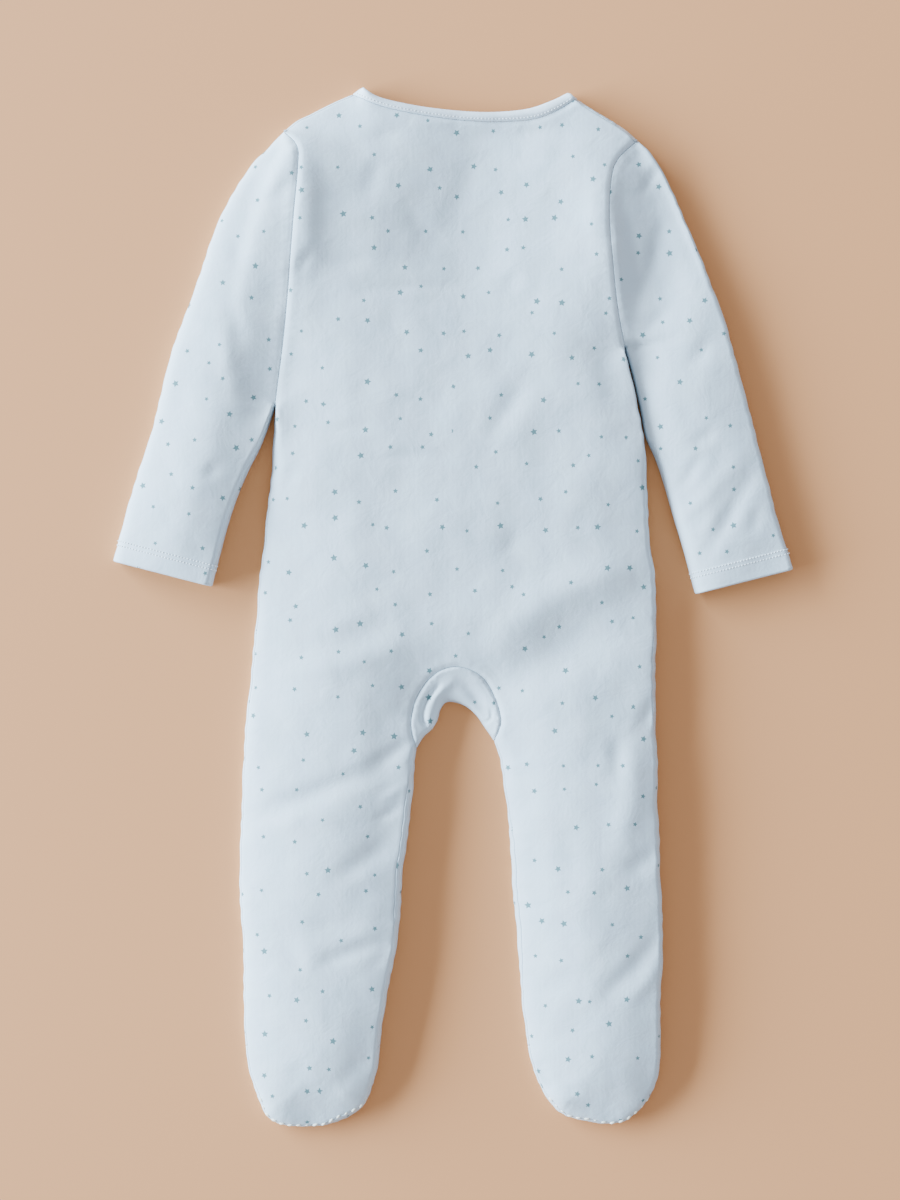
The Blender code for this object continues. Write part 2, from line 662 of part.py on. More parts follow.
class Piece:
    """One cut piece: regions of the form, welded and given a wall."""

    def __init__(self, name, colour, edges, shared):
        self.name = name
        self.colour = colour
        self.edges = edges
        self.shared = shared
        self.place = {}
        self.points = []
        self.normals = []
        self.plan = []
        self.faces = []

    def add(self, outline, height, layer, rows=(), cell=CELL_TOP, apart=""):
        """Fill an outline and lift it to its layer's height.

        Regions weld where they share a point, unless `apart` tells them apart.
        """
        plan, triangles = filled(outline, list(rows), cell)
        z = height(plan)
        normals = slope_normal(height, plan, layer == "top")
        index = []
        for k, point in enumerate(plan):
            name = key(point)
            if name in self.edges:
                name, z[k], normals[k] = (name, "edge"), EDGE_Z, self.edges[name]
            else:
                if (name, layer) in self.shared:
                    z[k], normals[k] = self.shared[name, layer]
                name = (name, layer, apart)
            if name not in self.place:
                self.place[name] = len(self.points)
                self.points.append((point[0], point[1], z[k]))
                self.normals.append(normals[k])
                self.plan.append(point)
            index.append(self.place[name])
        for a, b, c in triangles:
            order = (a, b, c) if layer == "top" else (a, c, b)
            self.faces.append(tuple(index[k] for k in order))

    def drawn_in(self, points):
        """Outer points with the piece's border drawn back by half a seam gap."""
        ways = {}
        third = {}
        for face in self.faces:
            for k in range(3):
                third[face[k], face[(k + 1) % 3]] = face[(k + 2) % 3]
        border = [edge for edge in third if edge[::-1] not in third]
        for a, b in border:
            run = points[b] - points[a]
            run /= np.linalg.norm(run)
            way = points[third[a, b]] - points[a]
            way -= (way @ run) * run
            way /= np.linalg.norm(way)
            ways.setdefault(a, []).append(way)
            ways.setdefault(b, []).append(way)
        moved = points.copy()
        for k, pair in ways.items():
            total = np.sum(pair, axis=0)
            size = np.linalg.norm(total)
            share = max(size / len(pair), 0.5)
            moved[k] += total / size * (0.5 * SEAM_GAP / share)
        moved[:, 2] = np.maximum(moved[:, 2], 0.0)
        return moved, border

    def build(self, wall, proud=None):
        """The closed solid: outer faces, inner faces and the border between them."""
        points = np.array(self.points)
        normals = np.array(self.normals)
        plan = np.array(self.plan)
        outer, border = self.drawn_in(points)
        if proud is not None:
            outer = outer + proud(outer)[:, None] * normals
        inner = outer - wall(plan)[:, None] * normals
        count = len(outer)
        faces = list(self.faces)
        faces += [(c + count, b + count, a + count) for a, b, c in self.faces]
        for a, b in border:
            # both pieces at a seam split its twisted faces along the same diagonal
            if key(plan[a]) < key(plan[b]):
                faces += [(b, a, b + count), (a, a + count, b + count)]
            else:
                faces += [(b, a, a + count), (b, a + count, b + count)]
        return solid(self.name, np.vstack([outer, inner]), faces, self.colour)


def solid(name, points, faces, colour):
    """A mesh object in metres with its own cloth material."""
    mesh = bpy.data.meshes.new(name)
    mesh.from_pydata([tuple(p * MM) for p in points], [], faces)
    mesh.shade_smooth()
    mesh.set_sharp_from_angle(angle=SHARP)
    mesh.update()
    material = bpy.data.materials.new(name)
    material.use_nodes = True
    shader = material.node_tree.nodes["Principled BSDF"]
    shader.inputs["Base Color"].default_value = (*colour, 1.0)
    shader.inputs["Roughness"].default_value = 0.9
    mesh.materials.append(material)
    thing = bpy.data.objects.new(name, mesh)
    bpy.context.collection.objects.link(thing)
    return thing


def beside(line, inside_point, distances):
    """Rows of points at set distances in from a rolled outline."""
    normal = inward(line, inside_point)
    rows = []
    before = 0.0
    for distance in distances:
        rows.append((line + distance * normal, ROW_ROOM * (distance - before)))
        before = distance
    return rows


def rows_for(lines, names, distances):
    """Rows beside several named outlines, nearest rows first."""
    found = []
    for name in names:
        line = lines[name] if name[1] else lines[name[0]]
        found.append(beside(line, INSIDE[name], distances))
    return [row for rows in zip(*found) for row in rows]


def make_back(form, lines, new):
    piece = new("back", CLOTH)
    outline = loop(
        lines["shoulder seam", "left"], lines["neck"][1:-1],
        lines["shoulder seam", "right"][::-1], lines["armhole", "right"][1:-1],
        lines["side seam", "right"], lines["foot seam", "right"], lines["inner seam", "right"],
        lines["arch"][1:-1][::-1], lines["inner seam", "left"][::-1],
        lines["foot seam", "left"][::-1], lines["side seam", "left"][::-1],
        lines["armhole", "left"][1:-1][::-1])
    names = [(name, side) for side in SIDES for name in ("shoulder", "side", "foot", "inner")]
    piece.add(outline, form.body_top, "top", rows_for(lines, names, TOP_ROWS))
    piece.build(lambda p: np.full(len(p), WALL))


def add_strip(piece, form, lines, name, side):
    """The part of a front between the outline and the seam above it."""
    outline = loop(lines[name, side], lines[name + " seam", side][::-1])
    piece.add(outline, form.body_top, "top", cell=CELL_UNDER)


def make_front(form, lines, new, side):
    piece = new("front_" + side, CLOTH)
    ends = [lines["front neck", side], lines["front arch", side]]
    if side == "right":
        ends = [line[::-1] for line in ends]
    centre = np.array([ends[0][-1], ends[1][-1]])
    outline = loop(
        lines["shoulder", side], ends[0], sampled(centre, longest=CELL_UNDER), ends[1][::-1],
        lines["inner", side][::-1], lines["ankle", side][::-1], lines["side", side][::-1],
        lines["armhole under", side][::-1])
    names = [(name, side) for name in ("shoulder", "side", "inner")]
    ramp_x = CENTRE_X - LAP if side == "left" else CENTRE_X + LAP + LAP_CLEAR
    step = -LAP_RAMP if side == "left" else LAP_RAMP
    rows = rows_for(lines, names, UNDER_ROWS)
    for x in (ramp_x, ramp_x + step):
        y = np.arange(centre[1, 1] + LAP_ROOM, centre[0, 1], CELL_UNDER)
        rows.append((np.column_stack([np.full(len(y), x), y]), LAP_ROOM))

    def height(points):
        return form.under(points, form.rolled) + form.lap(points, side)

    piece.add(outline, height, "under", rows, CELL_UNDER)
    for name in ("shoulder", "side", "inner"):
        add_strip(piece, form, lines, name, side)
    piece.build(lambda p: np.full(len(p), WALL))


def make_foot(form, lines, new, side):
    piece = new("foot_top_" + side, CLOTH)
    outline = loop(lines["foot", side], lines["ankle", side][::-1])
    rows = rows_for(lines, [("foot", side)], UNDER_ROWS)
    piece.add(outline, lambda p: form.under(p, form.rolled), "under", rows, CELL_UNDER)
    add_strip(piece, form, lines, "foot", side)
    piece.build(lambda p: np.full(len(p), WALL))


def make_sleeve(form, lines, new, side):
    piece = new("sleeve_" + side, CLOTH)
    names = [("sleeve outer", side), ("sleeve inner", side)]
    hem = lines["hem", side]
    up = inward(hem, UNDERARM[side])
    hem_rows = [(hem + distance * up, ROW_ROOM * HEM_STEP)
                for distance in (HEM_DEPTH - HEM_STEP, HEM_DEPTH + HEM_STEP)]

    def wall(points):
        turned = nearest(points, hem)[0] < HEM_DEPTH
        return np.where(turned, HEM_WALL, WALL)

    for layer, armhole, distances, cell in (
            ("top", "armhole", TOP_ROWS, CELL_TOP),
            ("under", "armhole under", UNDER_ROWS, CELL_UNDER)):
        outline = loop(lines[armhole, side], lines["sleeve inner", side], hem[::-1],
                       lines["sleeve outer", side][::-1])
        rows = rows_for(lines, names, distances) + hem_rows
        if layer == "top":
            piece.add(outline, lambda p: form.sleeve_top(p, side), layer, rows, cell)
        else:
            rolled = form.roll_of[side]
            piece.add(outline, lambda p: form.under(p, rolled), layer, rows, cell)
    piece.build(wall)


def make_gusset(form, lines, new):
    piece = new("gusset", CLOTH)
    rows = rows_for(lines, [("crotch", "")], TOP_ROWS)
    piece.add(loop(lines["arch"], lines["crotch"][::-1]), form.body_top, "top", rows, CELL_SMALL)
    rows = rows_for(lines, [("crotch", "")], UNDER_ROWS)
    outline = loop(lines["front arch"], lines["crotch"][::-1])
    piece.add(outline, lambda p: form.under(p, form.rolled), "under", rows, CELL_SMALL)
    piece.build(lambda p: np.full(len(p), WALL))


def make_binding(form, lines, new):
    piece = new("neck_binding", BINDING_CLOTH)
    tip = {side: lines["tip", side] for side in SIDES}
    outline = loop(lines["rim"], tip["right"][::-1], lines["neck"][::-1], tip["left"])
    piece.add(outline, form.body_top, "top", cell=CELL_SMALL)
    for side in SIDES:
        edge = lines["front neck", side]
        rim = lines["front rim", side]
        if side == "left":
            outline = loop(edge, rim[::-1], tip[side][::-1])
        else:
            outline = loop(edge, tip[side], rim[::-1])

        def height(points, side=side):
            return form.under(points, form.rolled) + form.lap(points, side)

        piece.add(outline, height, "under", cell=CELL_SMALL, apart=side)

    def proud(points):
        return BINDING_PROUD * np.clip((points[:, 2] - PROUD_FROM) / PROUD_RAMP, 0.0, 1.0)

    piece.build(lambda p: np.full(len(p), BINDING_WALL), proud)


def make_poppers():
    """Caps of the press fasteners, in the hollow under the outer lap."""
    turn = np.linspace(0.0, 2.0 * math.pi, POPPER_SIDES, endpoint=False)
    circle = POPPER_RADIUS * np.column_stack([np.cos(turn), np.sin(turn)])
    for number in range(POPPER_COUNT):
        ring = circle + (CENTRE_X, POPPER_TOP_Y - POPPER_PITCH * number)
        low = np.column_stack([ring, np.zeros(POPPER_SIDES)])
        high = np.column_stack([ring, np.full(POPPER_SIDES, POPPER_HEIGHT)])
        count = POPPER_SIDES
        faces = [tuple(range(count))[::-1], tuple(range(count, 2 * count))]
        for k in range(count):
            n = (k + 1) % count
            faces.append((k, n, n + count, k + count))
        solid("popper_%d" % (number + 1), np.vstack([low, high]), faces, POPPER_PLASTIC)


def main():
    for thing in list(bpy.data.objects):
        bpy.data.objects.remove(thing, do_unlink=True)
    lines = plan_lines()
    form = Form(lines)
    edges = edge_normals(lines)
    shared = seam_points(form, lines)

    def new(name, colour):
        return Piece(name, colour, edges, shared)

    make_back(form, lines, new)
    for side in SIDES:
        make_front(form, lines, new, side)
        make_foot(form, lines, new, side)
        make_sleeve(form, lines, new, side)
    make_gusset(form, lines, new)
    make_binding(form, lines, new)
    make_poppers()


main()
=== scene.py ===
"""Footed baby sleepsuit in star-print cotton interlock, laid face down.

The pieces are the ones a maker cuts and sews. Each is a thin shell on the form of
its solid, with its folds, seams, print and stitching. Lengths are millimetres until
a mesh is made. X runs across the suit, +Y to the neck, +Z up from the table, and
"left" is the wearer's left, on the -X side.
"""

import math
from functools import partial

import bpy
import numpy as np
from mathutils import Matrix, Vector, kdtree
from mathutils.geometry import delaunay_2d_cdt


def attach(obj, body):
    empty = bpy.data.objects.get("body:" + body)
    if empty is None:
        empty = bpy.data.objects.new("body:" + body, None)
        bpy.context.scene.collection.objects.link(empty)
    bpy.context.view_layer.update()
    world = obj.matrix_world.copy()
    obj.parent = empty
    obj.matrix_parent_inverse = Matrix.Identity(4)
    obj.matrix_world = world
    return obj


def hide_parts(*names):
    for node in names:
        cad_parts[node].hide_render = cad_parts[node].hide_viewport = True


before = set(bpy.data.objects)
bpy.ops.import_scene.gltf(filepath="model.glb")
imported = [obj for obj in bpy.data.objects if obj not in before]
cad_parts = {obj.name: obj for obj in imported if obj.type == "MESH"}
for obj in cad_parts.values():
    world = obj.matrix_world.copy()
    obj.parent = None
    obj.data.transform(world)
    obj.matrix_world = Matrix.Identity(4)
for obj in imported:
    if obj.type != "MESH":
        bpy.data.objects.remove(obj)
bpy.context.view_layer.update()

MM = 0.001
SIDES = ("left", "right")

# ---- sizes --------------------------------------------------------------
WALL = 1.0            # one layer of interlock
HEM_WALL = 1.8        # a turned hem
BINDING_WALL = 1.8    # folded neck binding
SEAM_GAP = 0.06       # left between neighbouring pieces
SEAM_INSET = 0.9      # how far the side seam lies inside the outline
SHIFT_RAMP = 22.0     # length over which the side seam moves further in
SIDE_FROM = 9.0       # the side's first point is at least this far below the underarm
HEM_DEPTH = 13.2      # turned hem at the cuff
HEM_EASE = 0.5        # the hem's step starts this much further up
HEM_RAMP = 1.2        # width of that step
HEM_STEP = 0.4        # and its height
EDGE_Z = 3.6          # height of the widest point of every rolled side
UNDER_ROLL = 4.0      # width of the roll below that point
BODY_ROLL = (9.5, 6.8)     # mean width and height of the body's roll above it
# width and height of the roll above it at a sleeve's outer and inner edge
SLEEVE_ROLL = {"left": ((6.0, 3.2), (2.4, 10.6)), "right": ((2.4, 8.2), (7.0, 5.0))}
LAP = 10.0            # each front passes the centre line by this
LAP_RAMP = 7.0        # width over which a front climbs to its lap
LAP_CLEAR = 0.5       # between the outer lap's edge and the inner one's climb
LAP_LIFT = 1.0        # the outer lap lies on the poppers
LAP_FADE = 14.0       # the lift dies out this near to the neck and the gusset
CENTRE_X = 4.0        # centre line of the fronts
CENTRE_GAP = 1.5      # the inner lap's layer above the outer one
ANKLE_Y = -262.0      # seam between each front leg and its foot top

# spacing of mesh points
CELL_TOP = 2.5        # lofted side
CELL_UNDER = 6.0      # flat side
CELL_SMALL = 1.1      # gusset and binding
CELL_STRIP = 2.0      # strips of a front over the edge, and the hidden small pieces
CELL_ROOM = 0.62      # of a cell, between a grid point and its neighbours
ROW_ROOM = 0.6        # of a row's step, between a row's point and its neighbours
TOP_ROWS = (0.5, 1.3, 2.4, 4.0, 6.0, 8.4)
UNDER_ROWS = (0.6, 1.7, 3.2, 5.2)
LONGEST = 2.4         # longest step along an outline or a seam
TURN = 0.12           # most that an outline turns in one step, radians
ARCH_STEP = 1.6       # longest step along the gusset's lines
NECK_STEP = 2.0       # along the neck
TIP_STEP = 1.4        # along the binding's ends
ARMHOLE_STEP = 1.8    # along an armhole
NEAR_CUT = 0.9        # a line's own points nearer than this give way to a cut's
ARCH_POINTS = 160     # points along the gusset's seam before it is thinned out
SLOPE_STEP = 0.25     # plan step for measuring a slope
BATCH = 4000          # points whose distances are worked out at once

# Outline of the body and legs: height up the garment and the four edges.
# columns: y, left outer, left inner, right inner, right outer
LEGS = (
    (-92, -125.4, -22.9, 28.1, 122.3),
    (-116, -126.4, -24.7, 31.7, 122.3),
    (-140, -127.2, -27.7, 34.1, 123.5),
    (-164, -127.9, -30.7, 35.3, 124.1),
    (-188, -126.7, -31.9, 37.5, 125.4),
    (-212, -125.3, -35.5, 39.5, 125.3),
    (-236, -125.4, -40.3, 41.3, 124.1),
    (-260, -124.3, -43.5, 44.3, 124.1),
    (-272, -123.1, -44.6, 46.6, 123.9),
    (-284, -120.3, -47.5, 50.9, 121.7),
    (-296, -115.9, -52, 57.3, 116),
)
# columns: x, y along the toe, from the outer side to the inner side
TOE = {
    "left": ((-111.2, -305.3), (-104, -309.6), (-92, -311.2), (-77, -310.3), (-61.6, -305)),
    "right": ((109, -303.3), (103, -307.8), (94, -309.6), (80, -308.1), (66.4, -304.2)),
}
# columns: y, left side, right side, from the underarm to the hip
TRUNK = (
    (139, -103.6, 106.3),
    (117, -106.5, 111.2),
    (100, -107.6, 114.1),
    (85, -108.2, 115.6),
    (64, -110.5, 116.3),
    (40, -112.9, 117.6),
    (16, -115.9, 120.9),
    (-8, -117.8, 121.6),
    (-32, -120.1, 121.2),
    (-56, -122.5, 121.1),
    (-74, -124.5, 121.3),
)
# Crotch edge, where the gusset turns under, from the left leg to the right.
GUSSET_TIP = {"left": (-21.8, -84.6), "right": (24.4, -80.4)}
CROTCH = (
    (-17.6, -77.9), (-12.6, -73.3), (-9.4, -68), (-7.6, -61.6), (-4.2, -57.4),
    (1.6, -57.5), (8, -60.1), (14, -65.4), (19, -72.6),
)
# Seam of the gusset on the back, from the left leg to the right.
GUSSET_SEAM = (
    (-24.8, -73.7), (-24.8, -65.6), (-22.7, -56.5), (-18.4, -48.5), (-13.1, -42.1),
    (-6.7, -37.8), (0.8, -35.9), (8.3, -37), (15.4, -40.7), (20.7, -46.4),
    (25, -54.9), (27.8, -63.4), (28.2, -70.6),
)
FRONT_GUSSET_DEPTH = 0.6   # of the back seam's distance from the crotch edge

# Neck and shoulders.
UNDERARM = {"left": (-106.4, 119), "right": (102.3, 155)}
NOTCH = {"left": (-101.5, 284.1), "right": (110.6, 278.7)}
SHOULDER = {
    "left": ((-93.7, 290.5), (-85.9, 294.3), (-72.1, 301.3)),
    "right": ((103.5, 285), (94.7, 290.7), (82.7, 298)),
}
NECK_POINT = {"left": (-60.2, 306.5), "right": (74.5, 303.4)}
NECK_TIP = {"left": (-54.8, 310.7), "right": (69.9, 307.3)}
NECK_EDGE = (
    (-48.7, 300.7), (-33.4, 296.2), (-11.9, 292.4), (9.5, 290.1), (27.8, 289.6),
    (48, 290.9), (61.5, 295.6),
)
NECK_RIM = (
    (-44.1, 304.2), (-24.2, 299.6), (-2.8, 296.8), (20.2, 295.4), (43.1, 296.9),
    (58.4, 301.7),
)
FRONT_NECK = (
    (-46, 287.5), (-29, 266.5), (-8, 251.5), (7, 248), (22, 250.5),
    (43, 265.5), (60.5, 286.5),
)
BINDING_WIDTH = 6.8
# Armholes, from the shoulder notch to the underarm.
# columns: x, y, height of the seam before the side's roll is taken off
ARMHOLE = {
    "left": (
        (-101.5, 284.1, 9.4), (-93.2, 274.6, 13), (-92.2, 262, 15.6), (-94.6, 234.3, 17),
        (-97, 204.5, 16.4), (-98.6, 184.6, 13.4), (-101.5, 157, 11), (-103.8, 139, 10.2),
        (-106.4, 119, 9.8),
    ),
    "right": (
        (110.6, 278.7, 9.4), (98.4, 266.8, 12.8), (94, 254.2, 15.4), (93, 231.3, 16.6),
        (94.6, 208.5, 16), (98, 178, 13), (102.3, 155, 10),
    ),
}
# Outer and inner edges of the sleeves, from the body to the cuff.
SLEEVE_OUTER = {
    "left": (
        (-112.3, 273), (-120.1, 264.8), (-133.9, 243.9), (-144.7, 219.9), (-152.5, 195.9),
        (-161.5, 171.9), (-169.9, 147.9), (-175.6, 123.9), (-181.9, 99.9), (-190, 75.9),
        (-196.9, 51.9), (-203.6, 27.1),
    ),
    "right": (
        (119.9, 269.3), (128.3, 254.7), (138.5, 231.9), (148.7, 207.9), (155.6, 190),
        (162.5, 171.9), (169.1, 147.9), (175.7, 123.9), (181.8, 99.9), (188.1, 75.9),
        (194.3, 51.9), (203.6, 22.3),
    ),
}
SLEEVE_INNER = {
    "left": (
        (-114.5, 97.1), (-122.4, 81.2), (-129.2, 65.2), (-134.5, 49.3), (-139.3, 31.5),
        (-144.3, 11.8),
    ),
    "right": (
        (107, 139), (112, 117), (114.9, 102), (120.6, 89.1), (125.4, 75.3),
        (131.8, 53.3), (137.8, 33.4), (144.8, 7.3),
    ),
}

# Stretches where the front rolls over to the lofted side and its seam shows.
# columns: line, side, top y, bottom y, extra distance from the outline
SEAM_SHIFTS = (
    ("shoulder", "right", 330, 250, 1.8),
    ("side", "right", 0, -84, 1.9),
    ("inner", "left", -88, -205, 2.8),
    ("inner", "right", -122, -226, 1.6),
)
# Places where the seam of a foot rides up over the toe.
# columns: line, side, x, y, half length, extra distance from the outline
SEAM_BULGES = (
    ("foot", "left", -64.0, -306.5, 17.0, 2.2),
    ("foot", "left", -117.0, -293.0, 12.0, 0.7),
    ("foot", "right", 60.0, -299.0, 14.0, 0.9),
    ("foot", "right", 82.0, -308.5, 14.0, 0.9),
)
CORNER_INSET = {"left": 0.9, "right": 2.7}
# A point well inside each stretch of outline. columns: name, x on the right half, y
INSIDE = {(name, side): (sign * x, y) for name, x, y in (
    ("shoulder", 70, 250), ("side", 0, 0), ("foot", 85, -280), ("inner", 85, -160),
    ("tip", 40, 288), ("sleeve outer", 120, 180), ("sleeve inner", 175, 70),
) for side, sign in (("left", -1), ("right", 1))}
INSIDE["crotch", ""] = (0, 0)
# points on one side of the seams that cross the middle
CHEST = (0, 200)
HIPS = (0, 0)
BELOW_ARCH = (0, -70)
ABOVE_NECK = (4, 300)
BEYOND_NECK = (10, 330)

# Loft of the back down the garment, how far in from an edge it is reached, and the
# roll of the edge. columns: y, height, reach, width of the roll, height of the roll
BODY_LOFT = (
    (310, 13.5, 40, 9, 6),
    (250, 14.2, 42, 9, 6),
    (205, 15, 44, 9, 6.2),
    (120, 17, 48, 9, 6.6),
    (0, 17, 48, 9, 6.6),
    (-60, 18, 43, 10, 7.8),
    (-110, 19, 40, 11, 8.4),
    (-240, 18.5, 38, 11, 8),
    (-310, 15.5, 35, 9.5, 4),
)
# Edges that face left are rounder than those that face right.
REACH_SHARE = {"left": 1.3, "right": 1.0}
ROLL_SHARE = {"left": 0.32, "right": 1.4}   # of the roll's height
ROLL_WIDTH_SHARE = {"left": 0.9, "right": 0.24}
LEVEL_SHARE = 0.65   # at the toes and the crotch, where the two edges meet
CROTCH_AT = (1.5, -60.0)
TOE_Y = -275.0
LEVEL_RUN = 30.0      # over which the edges change to that share
BESIDE_SHARE = 1.45   # of the body's roll, where a sleeve lies beside it
BESIDE_RUN = 20.0     # widest gap over which a form still counts as beside
TOUCHING = 0.8        # gap of two forms that touch
PRESSED_RUN = 9.0     # a form up to this much further off still narrows the roll
PRESSED_SHARE = 0.2   # of the roll's width where two forms touch
TUCK = {"left": 0.1, "right": 0.0}     # a sleeve's edge is this much lower there
RIM_HEIGHT = 10.5     # free edge of the neck binding
NECK_REACH = 50.0
# columns: share of the way from the armhole to the cuff, height
SLEEVE_LOFT = {
    "left": ((0.0, 15.5), (0.5, 17.5), (0.85, 16.5), (1.0, 14.5)),
    "right": ((0.0, 12.0), (0.5, 14.0), (0.85, 13.5), (1.0, 12.0)),
}
# how far in from the outer and the inner edge the loft of a sleeve is reached
SLEEVE_REACH = {"left": (42.0, 28.0), "right": (26.0, 24.0)}
ARMHOLE_REACH = {"left": 50.0, "right": 44.0}
CREASE_FADE = 6.0     # creases die out this far from a rolled edge
SEAM_FADE = 6.0       # and so does the relief of the body's seams,
GUSSET_FADE = 3.0     # of the gusset
EDGE_FADE = 4.0       # and of the binding and the sleeves

# Creases of the lofted side, each a soft ridge or trough along a bent line.
# columns: half width, depth (minus is a trough), then points along it
BODY_CREASES = (
    # yoke and armholes
    (58, -7.8, (10, 290), (14, 240), (4, 172)),
    (12, -0.8, (-66, 258), (-68, 238), (-69, 200)),
    (8, 2.2, (-88, 270), (-87, 240), (-88, 208)),
    (7, 1.2, (87, 262), (85, 235), (88, 200)),
    (3.2, -1, (-91.9, 200.7), (-88, 206), (-84.7, 211.5)),
    (5.5, -0.8, (-79.9, 206.7), (-64, 205), (-48.7, 206.7)),
    (5.5, -0.8, (-52.3, 243.9), (-49, 254), (-45.1, 264.9)),
    (9, -0.7, (15.9, 272.9), (8.3, 250.9), (-5.9, 222.7)),
    (6, -0.7, (-27.1, 237.9), (-22, 229), (-16.9, 219.9)),
    (6, -1, (-46.9, 281.1), (-25.9, 284.7), (-7.9, 279.9)),
    (5, -0.6, (4.1, 278.7), (11, 279), (19.1, 278.7)),
    (9, -0.6, (62, 262), (61, 238), (60, 210)),
    (5, -0.7, (40.1, 198), (35, 194), (31.1, 190)),
    (6, -1, (28.1, 284.7), (64.1, 283.5), (99, 279)),
    (3.8, -0.6, (-52.9, 188.1), (-25.9, 190.5), (-1.9, 190.5)),
    (7, -1.1, (22.1, 99.9), (32, 117), (43.1, 134)),
    (9, -1, (88, 154), (93, 135), (98, 120)),
    # waist and hip
    (4, -0.5, (-73.9, 104.7), (-61, 106.5), (-48.7, 105.9)),
    (3.8, -0.5, (-46.9, 87.9), (-25, 89.5), (-1.9, 89.1)),
    (4.5, -0.6, (-100.9, 72.9), (-97, 77), (-93.1, 81.9)),
    (6.5, -0.8, (31.1, 30.9), (35, 38), (40.1, 45.9)),
    (12, 2.2, (34.1, -8.1), (64.1, 9.7), (107.3, 20.7)),
    (16, -3.4, (18, -50), (50, -32), (98, -12)),
    (8, -1.1, (-91.9, -23.1), (-64.9, -20.1), (-34.9, -6.9)),
    (7, 0.9, (-91.9, -37.9), (-64.9, -34.3), (-31.9, -24.1)),
    # left leg
    (13, -1.1, (-46, -62), (-42, -96), (-42, -150)),
    (6.8, -1.8, (-118.9, -125.1), (-85.9, -112.7), (-37.9, -93.3)),
    (6, 0.3, (-100.9, -128), (-73.9, -124.3), (-47.9, -120.1)),
    (4.2, -1.5, (-46.1, -91.9), (-36, -87), (-26.9, -80.1)),
    (2.8, 0.8, (-42.7, -114.9), (-36, -111), (-29.9, -107.1)),
    (2.8, -1, (-44.9, -126.1), (-37, -122), (-29.9, -117.9)),
    (6, -1.4, (-69.9, -160.3), (-55, -152), (-38.9, -140.3)),
    (5.2, -1.4, (-78.9, -211.9), (-57.9, -204.1), (-37.7, -199.1)),
    (4.5, -0.9, (-49.9, -213), (-43, -209), (-37.7, -203)),
    (6.5, -0.7, (-100.9, -203.1), (-94, -210), (-88.9, -216.9)),
    (6, -0.6, (-79.9, -191.1), (-68, -189), (-55.9, -186.9)),
    (7, -0.7, (-97.9, -281.1), (-91, -279), (-84.7, -275.1)),
    (6, -0.8, (-70.9, -287.1), (-62, -279), (-52.9, -269.1)),
    # right leg
    (4.8, -0.9, (96.5, -80.1), (97, -90), (97.7, -101.1)),
    (9, 1.7, (108, -78), (106, -112), (101, -142)),
    (5, -1.2, (121.1, -56.1), (117, -63), (112.1, -71.1)),
    (6, -1.4, (121.1, -145.1), (114, -151), (103.9, -156.9)),
    (6, -1.4, (122.9, -195.1), (112.1, -209.1), (88.1, -233.1)),
    (4.2, 0.8, (121.1, -215.1), (114, -224), (106.1, -233.1)),
    (8, -0.8, (52.1, -224.1), (62, -225), (73.1, -224.1)),
    (8.5, -0.6, (68.9, -140.1), (70, -155), (71.3, -170.1)),
    (6.5, 1.6, (56, -291), (62, -293.5), (70, -295)),
    (2.4, -1, (50.9, -274.7), (55.9, -282.9), (64.3, -288.1)),
    (2.4, -0.8, (64.3, -288.1), (69, -288.9), (74.9, -288.9)),
)
SLEEVE_CREASES = {
    "left": (
        (20, 0.8, (-128, 180), (-137, 140), (-173, 36)),
        (5, -0.8, (-114.7, 240.9), (-106, 244), (-98.7, 251.1)),
        (6, -0.7, (-127.9, 219.9), (-128.5, 212), (-126.7, 204.9)),
        (8, -0.5, (-111.1, 208.7), (-108.7, 183.9), (-109.9, 160.9)),
        (5.5, 0.6, (-136.3, 160.9), (-132.7, 140.7), (-127.9, 120.9)),
        (7, 0.4, (-138.7, 183.9), (-136.3, 156.9), (-130.3, 123.9)),
        (5, -0.8, (-131.3, 178.9), (-129, 168), (-126.7, 156.9)),
        (4.2, -1, (-147.1, 77.1), (-143, 81), (-139.9, 84.3)),
        (6, -0.6, (-162.1, 132.9), (-162, 125), (-159.7, 117.9)),
        (7, -0.5, (-172, 88), (-168, 80), (-166, 68)),
    ),
    "right": (
        (19, -6.5, (116, 262), (124, 214), (117, 160)),
        (6, -1.6, (101, 240), (107, 206), (109, 172)),
        (5, -1.2, (124.1, 226.7), (119.3, 206.7), (113.3, 189.9)),
        (4.2, -0.6, (128.9, 177.9), (122, 172), (115.1, 165.9)),
        (5.2, -0.8, (151.1, 156.9), (147, 151), (142.1, 144.9)),
        (4.2, -0.8, (142.1, 96.9), (149, 100), (155.3, 105.9)),
        (3.8, -0.8, (133.1, 68.7), (141, 79), (148.1, 90.9)),
        (9, -2, (134, 250), (142, 225), (150, 198)),
        (5, -1.3, (177.3, 79.1), (169.1, 62.7), (150.1, 30.7)),
        (5.5, 0.8, (169.1, 86.9), (151.1, 65.9), (128.9, 47.1)),
        (3.8, -0.6, (182.3, 57.9), (180, 52), (177.1, 44)),
        (3.2, -1, (122.3, 260.7), (117, 254), (112.7, 246.3)),
    ),
}
# Folds of the crotch gusset, which turns under between the legs.
GUSSET_CREASES = (
    (1.6, -1.8, (-8.5, -47), (-16, -56.8), (-18.2, -64.6)),
    (1.5, -1.6, (-18.2, -64.6), (-18, -68), (-15.7, -71.6)),
    (3.2, 1.5, (-1, -45), (-9.6, -53), (-13.6, -62.5)),
    (2.2, 1.2, (-13.6, -62.5), (-14.2, -66), (-13.9, -69.3)),
    (3.6, -1.1, (6.5, -45.5), (13.5, -54.5), (19, -63.5)),
    (0.9, -1, (22.3, -61.5), (22.7, -66.2), (20.1, -69.4)),
    (0.9, -0.9, (20.1, -69.4), (18.6, -69.6), (17.2, -68.7)),
)
